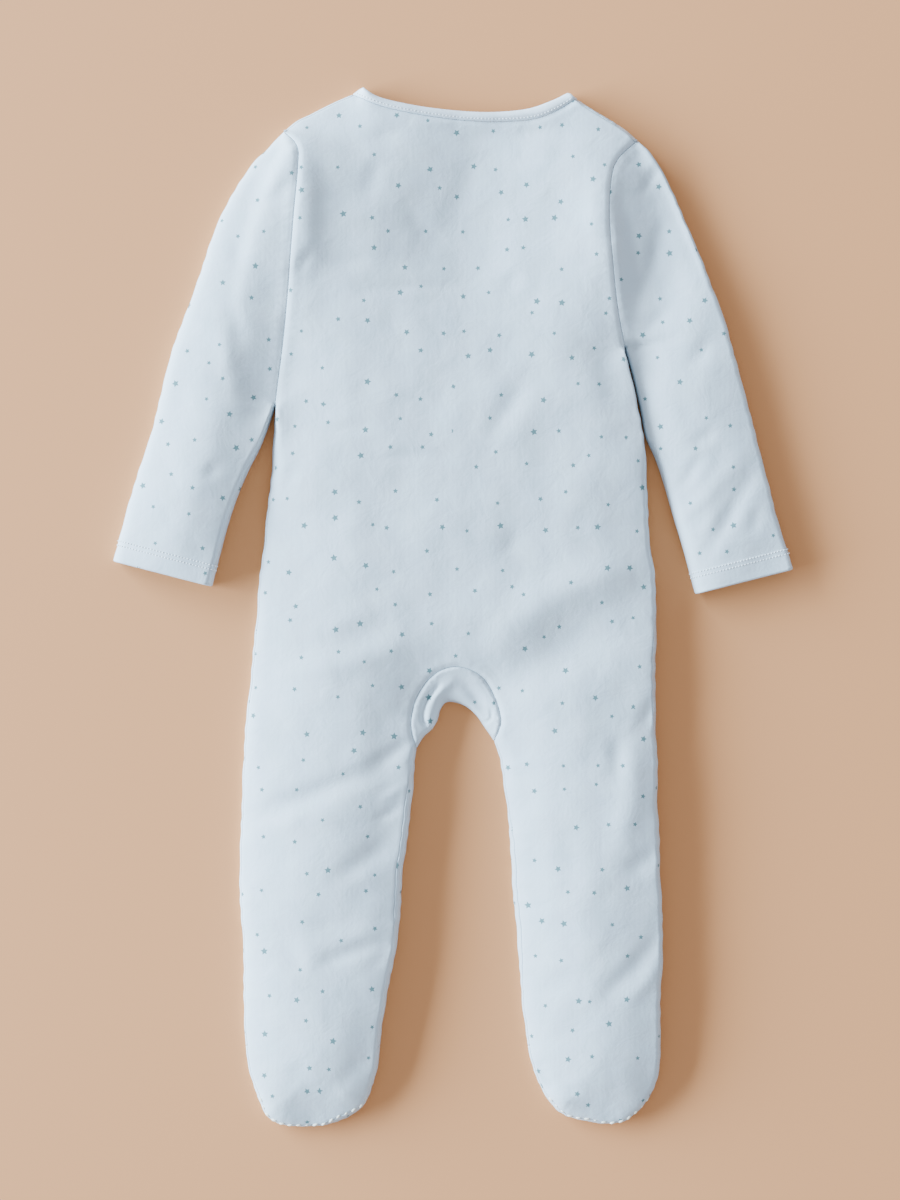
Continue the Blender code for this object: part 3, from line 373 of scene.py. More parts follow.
# Waves of uneven cloth. columns: heading in degrees, wave length, height, phase
UNEVEN = (
    (12.0, 97.0, 0.25, 0.4), (78.0, 83.0, 0.24, 2.1), (141.0, 71.0, 0.21, 4.4),
    (33.0, 58.0, 0.17, 5.3), (104.0, 47.0, 0.14, 1.2), (163.0, 39.0, 0.11, 3.3),
    (57.0, 31.0, 0.08, 0.9), (121.0, 26.0, 0.07, 2.7), (3.0, 21.0, 0.06, 5.9),
    (88.0, 17.0, 0.04, 4.1),
)

# Relief beside a seam.
# the groove's half width; how far in the seam allowance lies, its height, its half width
ALLOWANCE = (1.2, 3.4, 0.3, 1.8)
PUCKER = (6.6, 1.3, 4.1, 5.0)     # pitch, its sway and over what, reach from the seam
# depth of the groove and height of the puckers, for each armhole, the neck, the arch
SEAM_RELIEF = ((0.6, 0.08), (0.6, 0.08), (0.5, 0.06), (0.6, 0.08))
CAP_RELIEF = (0.0, 0.08)      # the same on a sleeve, whose seam height has the groove
# Gusset's raised edge: height at the seam, lip and its width, hollow and its width
GUSSET_EDGE = (-0.6, 1.5, 0.5, -0.55, 4.0)
SEAM_ROWS = (1.1, 2.2, 3.6)   # rows of points beside a seam
GUSSET_ROWS = (0.9, 1.8)
HEM_ROWS = (1.2, 9.2, 9.6, 10.4, 10.8, 11.9, 12.3, 13.0, 13.9)
HEM_ROOM = 0.5        # between a hem row's points and their neighbours
LAP_FIRST = 2.0       # first point beside a lap's climb, above the gusset
LAP_PITCH = 3.0       # and the step to the next
BORDER_ROOM = 0.95    # between a border and the points inside it
SHARPEST = 0.5        # a sharper corner's border isn't moved further out
BORDER_TURNS = [math.radians(angle) for angle in (45.0, 90.0, 135.0)]
RIPPLE_FADE = 12.0
# height and pitch of a sewn outline's unevenness
RIPPLES = {"side": (0.2, 15.0), "foot": (0.15, 9.0), "inner": (0.2, 13.0),
           "sleeve outer": (0.18, 14.0)}
RIPPLE_SWAY = (1.7, 3.3)      # sway of its pitch, in radians, over so many pitches
RIPPLE_LONG = (0.6, 2.6)      # a longer wave on top: its share and its pitch
CREASE_END = 0.35     # depth of a crease at its two ends, as a share
CREASE_TAPER = 0.7    # the lower, the further its full depth goes towards them
CREASE_SHAPE = (1.25, 0.25, 2.2)  # its hump, the hollows beside it and how wide they are
CREASE_REACH = 4.0    # half widths at which it has died out
CREASE_STEPS = 5      # points from one of its own points to the next
UNEVEN_SWAY = (0.8, 4.0)      # how far the uneven waves bend, in radians, and how finely
UNDER_FADE = (2.0, 8.0)       # the flat side's folds start this far in, and rise over this
CAP_FADE = 2.0        # a sleeve's relief rises over this from the armhole
# Binding: height at its two edges, rise between them and how square that rise is;
# depth and half width of the dip at the stitches; depth and half width of the groove at
# the seam, and the width over which the binding rises out of it.
BINDING_CROWN = (0.2, 0.9, 2.5)
BINDING_DIP = (0.3, 0.5)
BINDING_GROOVE = (0.5, 0.8, 0.7)
ARC_POINTS = 200      # for measuring round a roll
SLEEVE_SHIFT = (37.0, 61.0)   # moves the uneven waves of the sleeves off the body's

# ---- stitches and poppers -----------------------------------------------
BINDING_STITCH = 1.5  # from the seam to the row of stitches on the binding
HEM_STITCHES = (10.0, 12.6)   # from the cuff's edge to each row
STITCH_DIP = 0.25     # a row presses the hem in by this
STITCH_WIDTH = 0.6
STITCH_LIFT = 0.1     # a thread's middle above the cloth
CUFF_LIFT = 0.12
CUFF_LOW = 0.42       # its least height above the table
CUFF_POINTS = 72      # across a cuff
OVERLOCK_Y = -294.0   # the toe seam's thick thread shows below this
PLACKET_STITCHES = (12.0, -4.0)
PLACKET_ENDS = (-38.0, 246.0)
PLACKET_POINTS = 90
# columns: thread, pitch, length, width and height of a stitch, slant, jitter, seed
CUFF_SEWING = ("white", 1.9, (1.15, 0.75, 0.8), 0.06, 0.12, 3)
TOE_SEWING = ("cream", 5.0, (3.0, 1.5, 1.2), 0.3, 0.4, 11)
STITCHES = {          # the piece sewn on, then the columns above
    "cuff_stitches_left": ("sleeve_left", *CUFF_SEWING),
    "cuff_stitches_right": ("sleeve_right", *CUFF_SEWING),
    "binding_stitches": ("neck_binding", "white", 2.1, (1.3, 0.65, 0.7), 0.0, 0.1, 5),
    "placket_stitches": ("front_left", "white", 2.4, (1.7, 0.42, 0.34), 0.0, 0.1, 7),
    "toe_overlock_left": ("foot_top_left", *TOE_SEWING),
    "toe_overlock_right": ("foot_top_right", *TOE_SEWING),
}
BEAD = {"Segments": 8, "Rings": 5, "Radius": 0.5}  # one stitch, before it is sized
POPPER_COUNT = 7
POPPER_TOP_Y = 222.0
POPPER_PITCH = 39.5
POPPER_SIDES = 40
# radius and height of a popper cap, whose face lies on the table
POPPER_PROFILE = (
    (0.0, 0.12), (1.9, 0.12), (2.2, 0.02), (3.9, 0.0), (4.5, 0.1), (4.9, 0.32), (5.0, 0.5),
    (4.95, 0.7), (0.0, 0.7),
)

# ---- print and colours --------------------------------------------------
WALE = 0.75           # interlock ribs, real pitch
COURSE = 0.62
KNIT_RELIEF = 0.008   # height of a rib's half wave
COURSE_SHARE = 0.4    # of that on the courses, which show less than the wales
FUZZ_SHARE = 4.0      # the same for the fuzz's whole range
CRUMPLE = 0.5         # height of the crumple's whole range
STAR_CELL = 20.0      # mean spacing of the print's stars
STAR_SCATTER = 0.75   # how far they stray from a grid, 0 to 1
STAR_SMALL = 1.6      # from a star's middle to its tips
STAR_LARGE = 2.15
LARGE_SHARE = 0.33    # of the stars
STAR_MISSING = 0.1    # share of places left bare
STAR_SOFT = 0.14      # half the width of the ink's soft edge
STAR_VARY = (0.9, 1.1)    # of a star's size
STAR_SLANT = 2.026    # gives notches half as far out as the tips
# fineness of each noise, to a millimetre of cloth
FUZZ_SCALE = 0.9
CRUMPLE_SCALE = 0.07
INK_SCALE = 1.6
# and to a metre of the rest
PLY_SCALE = 2500.0
MOTTLE_SCALE = 900.0
TABLE_SCALE = 2.0
PLY_RELIEF = 0.05     # height of a thread's plies
NOISE_SPAN = (0.3, 0.7)   # where most values of a noise lie
ACETAL_ROUGHNESS = (0.28, 0.42)
# darkest and lightest tone of each finish
COTTON = ("#CCDBE3", "#D2DFE5")
INK = ("#55797A", "#6B8E8F")
TRIM = ("#DAE7EE", "#E1EAF0")
WHITE_THREAD = ("#E4E7E8", "#F6F8F8")
CREAM_THREAD = ("#E6E2CF", "#F8F4E6")
ACETAL = ("#E9EBEA", "#F4F5F3")
TABLE = ("#DA8D43", "#DE8F45")
# columns: name, place, aim, size, watts, tint
LIGHTS = (
    ("softbox", (-5.54, 1.59, 1.65), (0.0, 0.0, 0.0), (8.1, 2.8), 2995.0, "#CEE8FF"),
)
ROOM_TINT = "#E4EEFF"
ROOM_STRENGTH = 0.88
CAMERA_PLACE = (-0.0019, 0.0039, 1.6)
FOCAL_LENGTH = 80.0
SENSOR_HEIGHT = 36.0
FLOOR_Z = -0.0002      # in metres, just under the suit
FLOOR_HALF = 2.0       # half its side

# How far each piece's print is shifted on the cloth, so that none repeats another's.
PRINT_SHIFTS = {
    "back": (0.0, 0.0), "front_left": (310.0, 20.0), "front_right": (640.0, -35.0),
    "foot_top_left": (310.0, 480.0), "foot_top_right": (640.0, 520.0),
    "sleeve_left": (900.0, 90.0), "sleeve_right": (1240.0, -60.0),
    "gusset": (1500.0, 40.0), "neck_binding": (1700.0, 0.0),
}
# Soft folds of the flat side, where the cloth lifts a little off the table.
# columns: half width, height, then points along the fold
UNDER_CREASES = (
    (6, 0.9, (-88, 232), (-70, 214), (-44, 204)),
    (5, 0.8, (50, 236), (66, 216), (84, 206)),
    (5, 0.7, (-96, 120), (-72, 112), (-40, 114)),
    (6, 0.9, (36, 70), (66, 60), (100, 64)),
    (6, 1, (-100, -30), (-70, -40), (-40, -62)),
    (6, 1, (46, -66), (72, -44), (104, -34)),
    (5, 0.8, (-108, -150), (-84, -142), (-50, -148)),
    (5, 0.8, (52, -176), (78, -166), (108, -172)),
    (4.5, 0.7, (-104, -238), (-82, -230), (-58, -236)),
    (4.5, 0.7, (60, -246), (84, -240), (106, -246)),
    (5, 0.8, (-128, 200), (-136, 170), (-146, 140)),
    (5, 0.8, (126, 206), (138, 172), (146, 140)),
    (4, 0.6, (-172, 96), (-164, 74), (-166, 52)),
    (4, 0.6, (168, 100), (162, 76), (166, 54)),
)


# ---- plan curves --------------------------------------------------------
def ramp(x, start, run):
    """0 up to a start, then a straight rise to 1 over a run."""
    return np.clip((x - start) / run, 0.0, 1.0)


def unit(vectors):
    """Vectors of length 1, in an array of any shape."""
    return vectors / np.linalg.norm(vectors, axis=-1, keepdims=True)


def smooth(points, steps=12):
    """Points on a Catmull-Rom curve through the given ones."""
    p = np.array([q[:2] for q in points], float)
    ends = np.vstack([2 * p[0] - p[1], p, 2 * p[-1] - p[-2]])
    t = np.linspace(0.0, 1.0, steps, endpoint=False)[:, None]
    out = [0.5 * (2 * b + (c - a) * t + (2 * a - 5 * b + 4 * c - d) * t**2
                  + (3 * b - a - 3 * c + d) * t**3)
           for a, b, c, d in zip(ends, ends[1:], ends[2:], ends[3:])]
    return np.vstack(out + [p[-1:]])


def between(ends, table):
    """A curve from a left end to a right end through a table's points."""
    return smooth((ends["left"],) + table + (ends["right"],))


def lengths(line):
    """Distance along a line at each of its points."""
    return np.append(0.0, np.cumsum(np.linalg.norm(np.diff(line, axis=0), axis=1)))


def along(line, where):
    """Points at the given distances along a line."""
    s = lengths(line)
    return np.column_stack([np.interp(where, s, column) for column in line.T])


def sampled(line, longest=LONGEST):
    """The line with few points where it is straight and more where it bends."""
    step = np.diff(line, axis=0)
    size = np.linalg.norm(step, axis=1)
    heading = np.unwrap(np.arctan2(step[:, 1], step[:, 0]))
    bend = np.abs(np.gradient(heading)) if len(heading) > 1 else np.zeros(1)
    load = np.append(0.0, np.cumsum(size / longest + bend / TURN))
    count = max(1, math.ceil(load[-1]))
    return along(line, np.interp(np.linspace(0.0, load[-1], count + 1), load, lengths(line)))


def nearest(points, line):
    """Distance from each point to a line, and how far along it the foot lies."""
    size = np.sum(line**2, axis=1)
    corner = np.concatenate([np.argmin(size - 2.0 * part @ line.T, axis=1)
                             for part in np.array_split(points, len(points) // BATCH + 1)])
    best = np.full(len(points), np.inf)
    place = np.zeros(len(points))
    s = lengths(line)
    for step in (-1, 0):
        k = np.clip(corner + step, 0, len(line) - 2)
        a = line[k]
        run = line[k + 1] - a
        t = np.sum((points - a) * run, axis=1) / np.maximum(np.sum(run**2, axis=1), 1e-12)
        t = np.clip(t, 0.0, 1.0)
        d = np.linalg.norm(points - a - t[:, None] * run, axis=1)
        place = np.where(d < best, s[k] + t * (s[k + 1] - s[k]), place)
        best = np.minimum(d, best)
    return best, place


def closest(points, lines):
    """Distance from each point to the nearest of several lines."""
    return np.min([nearest(points, line)[0] for line in lines], axis=0)


def inward(line, inside):
    """Unit normals in plan at each point of a line, on the side of `inside`."""
    run = unit(np.gradient(line, axis=0))
    normal = np.column_stack([-run[:, 1], run[:, 0]])
    middle = len(line) // 2
    return normal if normal[middle] @ (np.array(inside) - line[middle]) >= 0 else -normal


def cut_at_x(line, x):
    """The line with a point where it crosses x, in place of any point close by."""
    k = int(np.argmax((line[:-1, 0] - x) * (line[1:, 0] - x) <= 0.0))
    t = (x - line[k, 0]) / (line[k + 1, 0] - line[k, 0])
    point = line[k] + t * (line[k + 1] - line[k])
    before, after = ([p for p in part if np.linalg.norm(p - point) > NEAR_CUT]
                     for part in (line[: k + 1], line[k + 1:]))
    return np.array(before + [point] + after)


def with_corners(line, first, last, longest):
    """A sampled line that also has a point at a set distance from each end."""
    s = lengths(line)
    keep = (s > first) & (s < s[-1] - last)
    middle = np.vstack([along(line, [first]), line[keep], along(line, [s[-1] - last])])
    return np.vstack([line[:1], sampled(middle, longest), line[-1:]])


def rippled(line, name, side):
    """The line with the small unevenness of a sewn edge, none at its two ends."""
    height, pitch = RIPPLES[name]
    s = lengths(line)
    ends = ramp(np.minimum(s, s[-1] - s), 0.0, RIPPLE_FADE)
    # a wave of wandering pitch, and a longer one that differs from line to line
    sway, sway_pitch = RIPPLE_SWAY
    share, long_pitch = RIPPLE_LONG
    wave = np.sin(2 * math.pi * s / pitch
                  + sway * np.sin(2 * math.pi * s / (sway_pitch * pitch)))
    wave += share * np.sin(2 * math.pi * s / (long_pitch * pitch) + line[0, 0])
    return line + (height * ends * wave)[:, None] * inward(line, INSIDE[name, side])


def body_outline(side):
    """Side, foot and inner leg of one half, from the underarm to the crotch."""
    outer, inner = (1, 2) if side == "left" else (4, 3)
    trunk = [(row[1 if side == "left" else 2], row[0]) for row in TRUNK
             if row[0] < UNDERARM[side][1] - SIDE_FROM]
    leg = [(row[outer], row[0]) for row in LEGS]
    back_up = [(row[inner], row[0]) for row in LEGS[::-1]]
    whole = smooth([UNDERARM[side], *trunk, *leg, *TOE[side], *back_up, GUSSET_TIP[side]])
    s = lengths(whole)
    low = np.flatnonzero(whole[:, 1] < ANKLE_Y)
    stops = (0.0, s[low[0]], s[low[-1]], s[-1])
    pieces = {}
    for name, start, end in zip(("side", "foot", "inner"), stops[:-1], stops[1:]):
        keep = (s > start) & (s < end)
        piece = np.vstack([along(whole, [start]), whole[keep], along(whole, [end])])
        pieces[name, side] = rippled(sampled(piece), name, side)
    return pieces


def seam_inset(name, side, line):
    """How far the side seam lies inside the outline at each point of a line."""
    inset = np.full(len(line), SEAM_INSET)
    for where, which, high, low, extra in SEAM_SHIFTS:
        if (where, which) == (name, side):
            into = np.minimum(high - line[:, 1], line[:, 1] - low)
            inset += extra * ramp(into, 0.0, SHIFT_RAMP)
    for where, which, x, y, reach, extra in SEAM_BULGES:
        if (where, which) == (name, side):
            apart = ramp(np.linalg.norm(line - (x, y), axis=1), 0.0, reach)
            inset += extra * np.cos(0.5 * math.pi * apart) ** 2
    return inset


def plan_lines():
    """Every named plan line of the garment, as sampled points."""
    arch, crotch = between(GUSSET_TIP, GUSSET_SEAM), between(GUSSET_TIP, CROTCH)
    lines = {
        "arch": with_corners(arch, SEAM_INSET, SEAM_INSET, ARCH_STEP),
        "neck": with_corners(between(NECK_POINT, NECK_EDGE), CORNER_INSET["left"],
                             CORNER_INSET["right"], NECK_STEP),
        "crotch": sampled(crotch, ARCH_STEP),
        "rim": sampled(between(NECK_TIP, NECK_RIM), NECK_STEP),
    }
    share = np.linspace(0.0, 1.0, ARCH_POINTS)
    edge, over = (along(line, share * lengths(line)[-1]) for line in (crotch, arch))
    front_arch = with_corners(edge + FRONT_GUSSET_DEPTH * (over - edge),
                              2.0 * SEAM_INSET, 2.0 * SEAM_INSET, ARCH_STEP)
    front_neck = sampled(between(NECK_POINT, FRONT_NECK))
    laps = (CENTRE_X - LAP, CENTRE_X + LAP)
    for name, line in (("front arch", front_arch), ("front neck", front_neck)):
        for x in laps:
            line = cut_at_x(line, x)
        start, end = (int(np.argmin(np.abs(line[:, 0] - x))) for x in laps)
        lines[name] = line
        lines[name, "left"] = line[: end + 1]
        lines[name, "right"] = line[start:]
    rim = lines["front neck"] + BINDING_WIDTH * inward(lines["front neck"], ABOVE_NECK)
    rim[0], rim[-1] = NECK_TIP["left"], NECK_TIP["right"]
    lines["front rim", "left"] = rim[: len(lines["front neck", "left"])]
    lines["front rim", "right"] = rim[-len(lines["front neck", "right"]):]
    for side in SIDES:
        outer, inner = SLEEVE_OUTER[side], SLEEVE_INNER[side]
        armhole = smooth(ARMHOLE[side])
        lines.update(body_outline(side))
        for name, points in (
                ("shoulder", smooth((NOTCH[side],) + SHOULDER[side] + (NECK_POINT[side],))),
                ("sleeve outer", smooth((NOTCH[side],) + outer)),
                ("sleeve inner", smooth((UNDERARM[side],) + inner)),
                ("hem", np.array([outer[-1], inner[-1]])),
                ("ankle", lines["foot", side][[0, -1]]),
                ("armhole under", armhole)):
            lines[name, side] = sampled(points)
        lines["sleeve outer", side] = rippled(lines["sleeve outer", side], "sleeve outer", side)
        lines["tip", side] = sampled(np.array([NECK_POINT[side], NECK_TIP[side]]), TIP_STEP)
        lines["armhole", side] = with_corners(armhole, CORNER_INSET[side], SEAM_INSET,
                                              ARMHOLE_STEP)
        near = 1 if side == "left" else -2
        # columns: outline, set first and last point of the seam beside it
        for name, first, last in (
                ("shoulder", lines["armhole", side][1], lines["neck"][near]),
                ("side", lines["armhole", side][-2], None),
                ("foot", None, None),
                ("inner", None, lines["arch"][near])):
            line = lines[name, side]
            normal = inward(line, INSIDE[name, side])
            seam = line + seam_inset(name, side, line)[:, None] * normal
            for k, point in ((0, first), (-1, last)):
                if point is not None:
                    seam[k] = point
            lines[name + " seam", side] = seam
        # one shared corner of both panels at each end of the foot's seam
        lines["foot seam", side][0] = lines["side seam", side][-1]
        lines["foot seam", side][-1] = lines["inner seam", side][0]
    return lines


# ---- the form -----------------------------------------------------------
def rounded(t):
    """Quarter ellipse from 0 to 1, upright at its start."""
    return np.sqrt(1.0 - (1.0 - np.clip(t, 0.0, 1.0)) ** 2)


def rising(t):
    """Parabola from 0 to 1, level at its end."""
    return 1.0 - (1.0 - np.clip(t, 0.0, 1.0)) ** 2


def bell(t):
    """Rounded hump of height 1 and half width about 1."""
    return np.exp(-(t**2))


def blended(height, edges):
    """Height that meets each edge's own height and rises away from all of them.

    edges holds a distance, a reach and a height at the edge for each one.
    """
    shares = [np.clip(rising(distance / reach), 1e-4, 1.0) for distance, reach, _ in edges]
    whole = np.prod(shares, axis=0)
    weights = [((1.0 - share) / share) ** 2 + 1e-9 for share in shares]
    edge = sum(w * e[2] for w, e in zip(weights, edges)) / sum(weights)
    return whole * height + (1.0 - whole) * edge


def creased(points, table):
    """Soft ridges and troughs, each fading towards its two ends."""
    out = np.zeros(len(points))
    hump, hollow, spread = CREASE_SHAPE
    for width, depth, *path in table:
        line = smooth(path, CREASE_STEPS)
        reach = CREASE_REACH * width
        near = np.all((points > line.min(axis=0) - reach) & (points < line.max(axis=0) + reach),
                      axis=1)
        if near.any():
            distance, place = nearest(points[near], line)
            share = place / lengths(line)[-1]
            taper = CREASE_END + (1.0 - CREASE_END) * np.sin(math.pi * share) ** CREASE_TAPER
            t = distance / width
            # a hump with a shallow one of the other sign on each side
            out[near] += depth * taper * (hump * bell(t) - hollow * bell(t / spread))
    return out


def uneven(points):
    """Low waves of cloth that nothing holds flat."""
    out = np.zeros(len(points))
    sway, fineness = UNEVEN_SWAY
    for heading, length, height, phase in UNEVEN:
        turn = math.radians(heading)
        run = points @ (math.cos(turn), math.sin(turn))
        across = points @ (-math.sin(turn), math.cos(turn))
        bend = sway * np.sin(across * fineness / length + phase)
        out += height * np.sin(2.0 * math.pi * run / length + phase + bend)
    return out


def sewn(distance, place, dip, pucker):
    """Relief beside a seam: a groove, the allowance under it and small puckers."""
    width, apart, rise, spread = ALLOWANCE
    pitch, sway, sway_run, fade = PUCKER
    ripple = np.sin(2.0 * math.pi * place / pitch + sway * np.sin(place / sway_run))
    return (-dip * bell(distance / width) + rise * bell((distance - apart) / spread)
            + pucker * np.exp(-distance / fade) * ripple)


class Form:
    """Height of the garment's outer surface over any plan point."""

    def __init__(self, lines):
        self.lines = lines
        self.rolled = [lines[name, side] for side in SIDES
                       for name in ("shoulder", "tip", "side", "foot", "inner")]
        self.rolled.append(lines["crotch"])
        self.roll_of = {side: [lines["sleeve outer", side], lines["sleeve inner", side]]
                        for side in SIDES}
        self.facing, self.arm_height, self.cap_height = {}, {}, {}
        for side, other in (SIDES, SIDES[::-1]):
            own, far = lines["foot", side], lines["foot", other]
            crotch = lines["crotch"][:: 1 if side == "right" else -1]
            self.facing[side] = [lines[name, side] for name in ("shoulder", "tip", "side")] + [
                lines["inner", other], own[: len(own) // 2 + 1], far[len(far) // 2:],
                crotch[: len(crotch) // 2 + 1]]
            armhole, table = smooth(ARMHOLE[side]), np.array(ARMHOLE[side])
            knots = nearest(table[:, :2], armhole)[1]
            self.arm_height[side] = (armhole, np.interp(lengths(armhole), knots, table[:, 2]))
        for side in SIDES:
            armhole = self.arm_height[side][0]
            self.cap_height[side] = self.body_top(armhole) + self.sleeve_drop(armhole, side)

    @staticmethod
    def drop(first, second, other, rolls):
        """Fall of the surface to an outline of two edges with their own rolls.

        rolls holds a width and a height for each. Where the outline of another part
        runs right beside, the cloth is pressed against it and the roll is narrow.
        """
        own = np.minimum(first, second)
        share = second / np.maximum(first + second, 1e-6)
        free = ramp(other - own, TOUCHING, PRESSED_RUN)
        width, height = (b + share * (a - b) for a, b in zip(*rolls))
        return height * (1.0 - rounded(
            own / (width * (PRESSED_SHARE + (1.0 - PRESSED_SHARE) * free))))

    def sleeve_rolls(self, points, side):
        """Distances to the two edges and to the body, and the two edges' rolls."""
        away = [nearest(points, line)[0] for line in self.roll_of[side]]
        other = nearest(points, self.lines["side", side])[0]
        beside = 1.0 - ramp(other - away[1], TOUCHING, BESIDE_RUN)
        outer, (width, height) = SLEEVE_ROLL[side]
        return away, other, [outer, (width, height * (1.0 - TUCK[side] * beside))]

    def sleeve_drop(self, points, side):
        """Fall of a sleeve's surface to its outline."""
        away, other, rolls = self.sleeve_rolls(points, side)
        return self.drop(*away, other, rolls)

    def body(self, points):
        """Lofted side of the body with its folds, before any seam."""
        y, *columns = np.array(BODY_LOFT)[::-1].T
        height, reach, roll_width, roll_height = (
            np.interp(points[:, 1], y, column) for column in columns)
        away = {side: closest(points, self.facing[side]) for side in SIDES}
        from_edge = np.minimum(away["left"], away["right"])
        other = closest(points, [self.lines["sleeve inner", side] for side in SIDES])
        beside = 1.0 - ramp(other - from_edge, TOUCHING, BESIDE_RUN)
        level = np.maximum(ramp(-points[:, 1], -TOE_Y, LEVEL_RUN),
                           bell(np.linalg.norm(points - CROTCH_AT, axis=1) / LEVEL_RUN))
        rolls, edges = [], []
        for side in SIDES:
            share = ROLL_SHARE[side] + beside * (BESIDE_SHARE - ROLL_SHARE[side])
            rolls.append((roll_width * ROLL_WIDTH_SHARE[side],
                          roll_height * (share + level * (LEVEL_SHARE - share))))
            edges.append((away[side], reach * REACH_SHARE[side], EDGE_Z + rolls[-1][1]))
        edges.append((nearest(points, self.lines["rim"])[0], NECK_REACH, RIM_HEIGHT))
        for side in SIDES:
            armhole, heights = self.arm_height[side]
            distance, place = nearest(points, armhole)
            edges.append((distance, ARMHOLE_REACH[side],
                          np.interp(place, lengths(armhole), heights)))
        z = blended(height, edges) - self.drop(away["left"], away["right"], other, rolls)
        return z + (creased(points, BODY_CREASES) + uneven(points)) * rising(
            from_edge / CREASE_FADE)

    def body_top(self, points):
        """Back panel and the fronts' strips over the edge."""
        z = self.body(points)
        fade = rising(closest(points, self.rolled) / SEAM_FADE)
        seams = [self.arm_height[side][0] for side in SIDES]
        for line, relief in zip(seams + [self.lines["neck"], self.lines["arch"]], SEAM_RELIEF):
            z += sewn(*nearest(points, line), *relief) * fade
        return z

    def gusset_top(self, points):
        """Gusset: a thin raised edge beside the seam and folds at the crotch."""
        fade = rising(closest(points, self.rolled) / GUSSET_FADE)
        distance = nearest(points, self.lines["arch"])[0]
        groove, lip, lip_width, hollow, hollow_width = GUSSET_EDGE
        edge = (groove + lip * (1.0 - np.exp(-distance / lip_width))
                + hollow * rising(distance / hollow_width))
        return self.body(points) + (edge + creased(points, GUSSET_CREASES)) * fade

    def binding_top(self, points):
        """Neck binding, rounded across its width."""
        fade = rising(closest(points, self.rolled) / EDGE_FADE)
        below, above = (nearest(points, self.lines[name])[0] for name in ("neck", "rim"))
        across = below / np.maximum(below + above, 1e-6)
        low, rise, square = BINDING_CROWN
        crown = low + rise * (1.0 - np.abs(2.0 * across - 1.0) ** square)
        dip, dip_width = BINDING_DIP
        crown -= dip * bell((below - BINDING_STITCH) / dip_width)
        groove, groove_width, start = BINDING_GROOVE
        z = -groove * bell(below / groove_width) + crown * (1.0 - bell(below / start))
        return self.body(points) + z * fade

    def sleeve_top(self, points, side):
        """Lofted side of one sleeve."""
        from_edge = closest(points, self.roll_of[side])
        armhole = self.arm_height[side][0]
        from_arm, place = nearest(points, armhole)
        from_hem = nearest(points, self.lines["hem", side])[0]
        loft = np.interp(from_arm / (from_arm + from_hem), *np.array(SLEEVE_LOFT[side]).T)
        seam = np.interp(place, lengths(armhole), self.cap_height[side])
        away, _, rolls = self.sleeve_rolls(points, side)
        edges = [(distance, reach, EDGE_Z + roll[1]) for distance, reach, roll
                 in zip(away, SLEEVE_REACH[side], rolls)]
        z = blended(loft, [*edges, (from_arm, ARMHOLE_REACH[side], seam)])
        z -= self.sleeve_drop(points, side)
        z += (creased(points, SLEEVE_CREASES[side]) + uneven(points + SLEEVE_SHIFT)) * rising(
            np.minimum(from_edge, from_arm) / CREASE_FADE)
        relief = sewn(from_arm, place, *CAP_RELIEF) * rising(from_arm / CAP_FADE)
        relief += HEM_STEP * hem_share(from_hem)
        for row in HEM_STITCHES:
            relief -= STITCH_DIP * bell((from_hem - row) / STITCH_WIDTH)
        return z + relief * rising(from_edge / EDGE_FADE)

    def under(self, points, rolled=None):
        """Flat side, rolled up at the outline, lifted by a few soft folds."""
        from_edge = closest(points, rolled or self.rolled)
        lift = np.maximum(creased(points, UNDER_CREASES), 0.0)
        start, run = UNDER_FADE
        return EDGE_Z * (1.0 - rounded(from_edge / UNDER_ROLL)) + lift * rising(
            (from_edge - start) / run)

    def front(self, points, side):
        """Flat side of a front, which climbs to its lap, the left one outside."""
        if side == "left":
            share = ramp(points[:, 0], CENTRE_X - LAP - LAP_RAMP, LAP_RAMP)
            ends = closest(points, [self.lines["front neck"], self.lines["front arch"]])
            lift = LAP_LIFT * ramp(ends, 0.0, LAP_FADE)
        else:
            share = ramp(-points[:, 0], -(CENTRE_X + LAP + LAP_CLEAR + LAP_RAMP), LAP_RAMP)
            lift = LAP_LIFT + CENTRE_GAP
        return self.under(points) + lift * share


def hem_share(from_hem):
    """1 on a sleeve's turned hem and 0 above it."""
    return ramp(-from_hem, -(HEM_DEPTH + HEM_EASE), HEM_RAMP)


def slope_normal(height, points, up):
    """Outward unit normals of a height function."""
    step = SLOPE_STEP
    dx = height(points + (step, 0.0)) - height(points - (step, 0.0))
    dy = height(points + (0.0, step)) - height(points - (0.0, step))
    normal = unit(np.column_stack([-dx, -dy, np.full(len(points), 2.0 * step)]))
    return normal if up else -normal


def key(point):
    """A plan point's own name, the same for every piece that meets there."""
    return round(float(point[0]), 2), round(float(point[1]), 2)


def named(lines, name):
    """The line of a name and a side, where the side of a middle line is empty."""
    return lines[name] if name[1] else lines[name[0]]


def edge_normals(lines):
    """Level outward normals at the points of every rolled outline."""
    table = {}
    for name, inside in INSIDE.items():
        line = named(lines, name)
        for point, normal in zip(line, -inward(line, inside)):
            table.setdefault(key(point), []).append(normal)
    out = {}
    for place, normals in table.items():
        mean = np.mean(normals, axis=0)
        out[place] = np.append(mean / max(np.linalg.norm(mean), 1e-6), 0.0)
    for side in SIDES:
        out[key(UNDERARM[side])] = np.array([0.0, -1.0, 0.0])
    return out


def seam_points(form, lines):
    """Height and normal along each armhole, shared by the body and the sleeve."""
    shared = {}
    for side in SIDES:
        top, under = sleeve_layers(form, side)
        for name, layer, body, sleeve in (("armhole", "top", form.body_top, top),
                                          ("armhole under", "under", form.under, under)):
            line = lines[name, side]
            up = layer == "top"
            normal = unit(slope_normal(body, line, up) + slope_normal(sleeve, line, up))
            for place, height, direction in zip(line, body(line), normal):
                shared[key(place), layer] = (height, direction)
    return shared


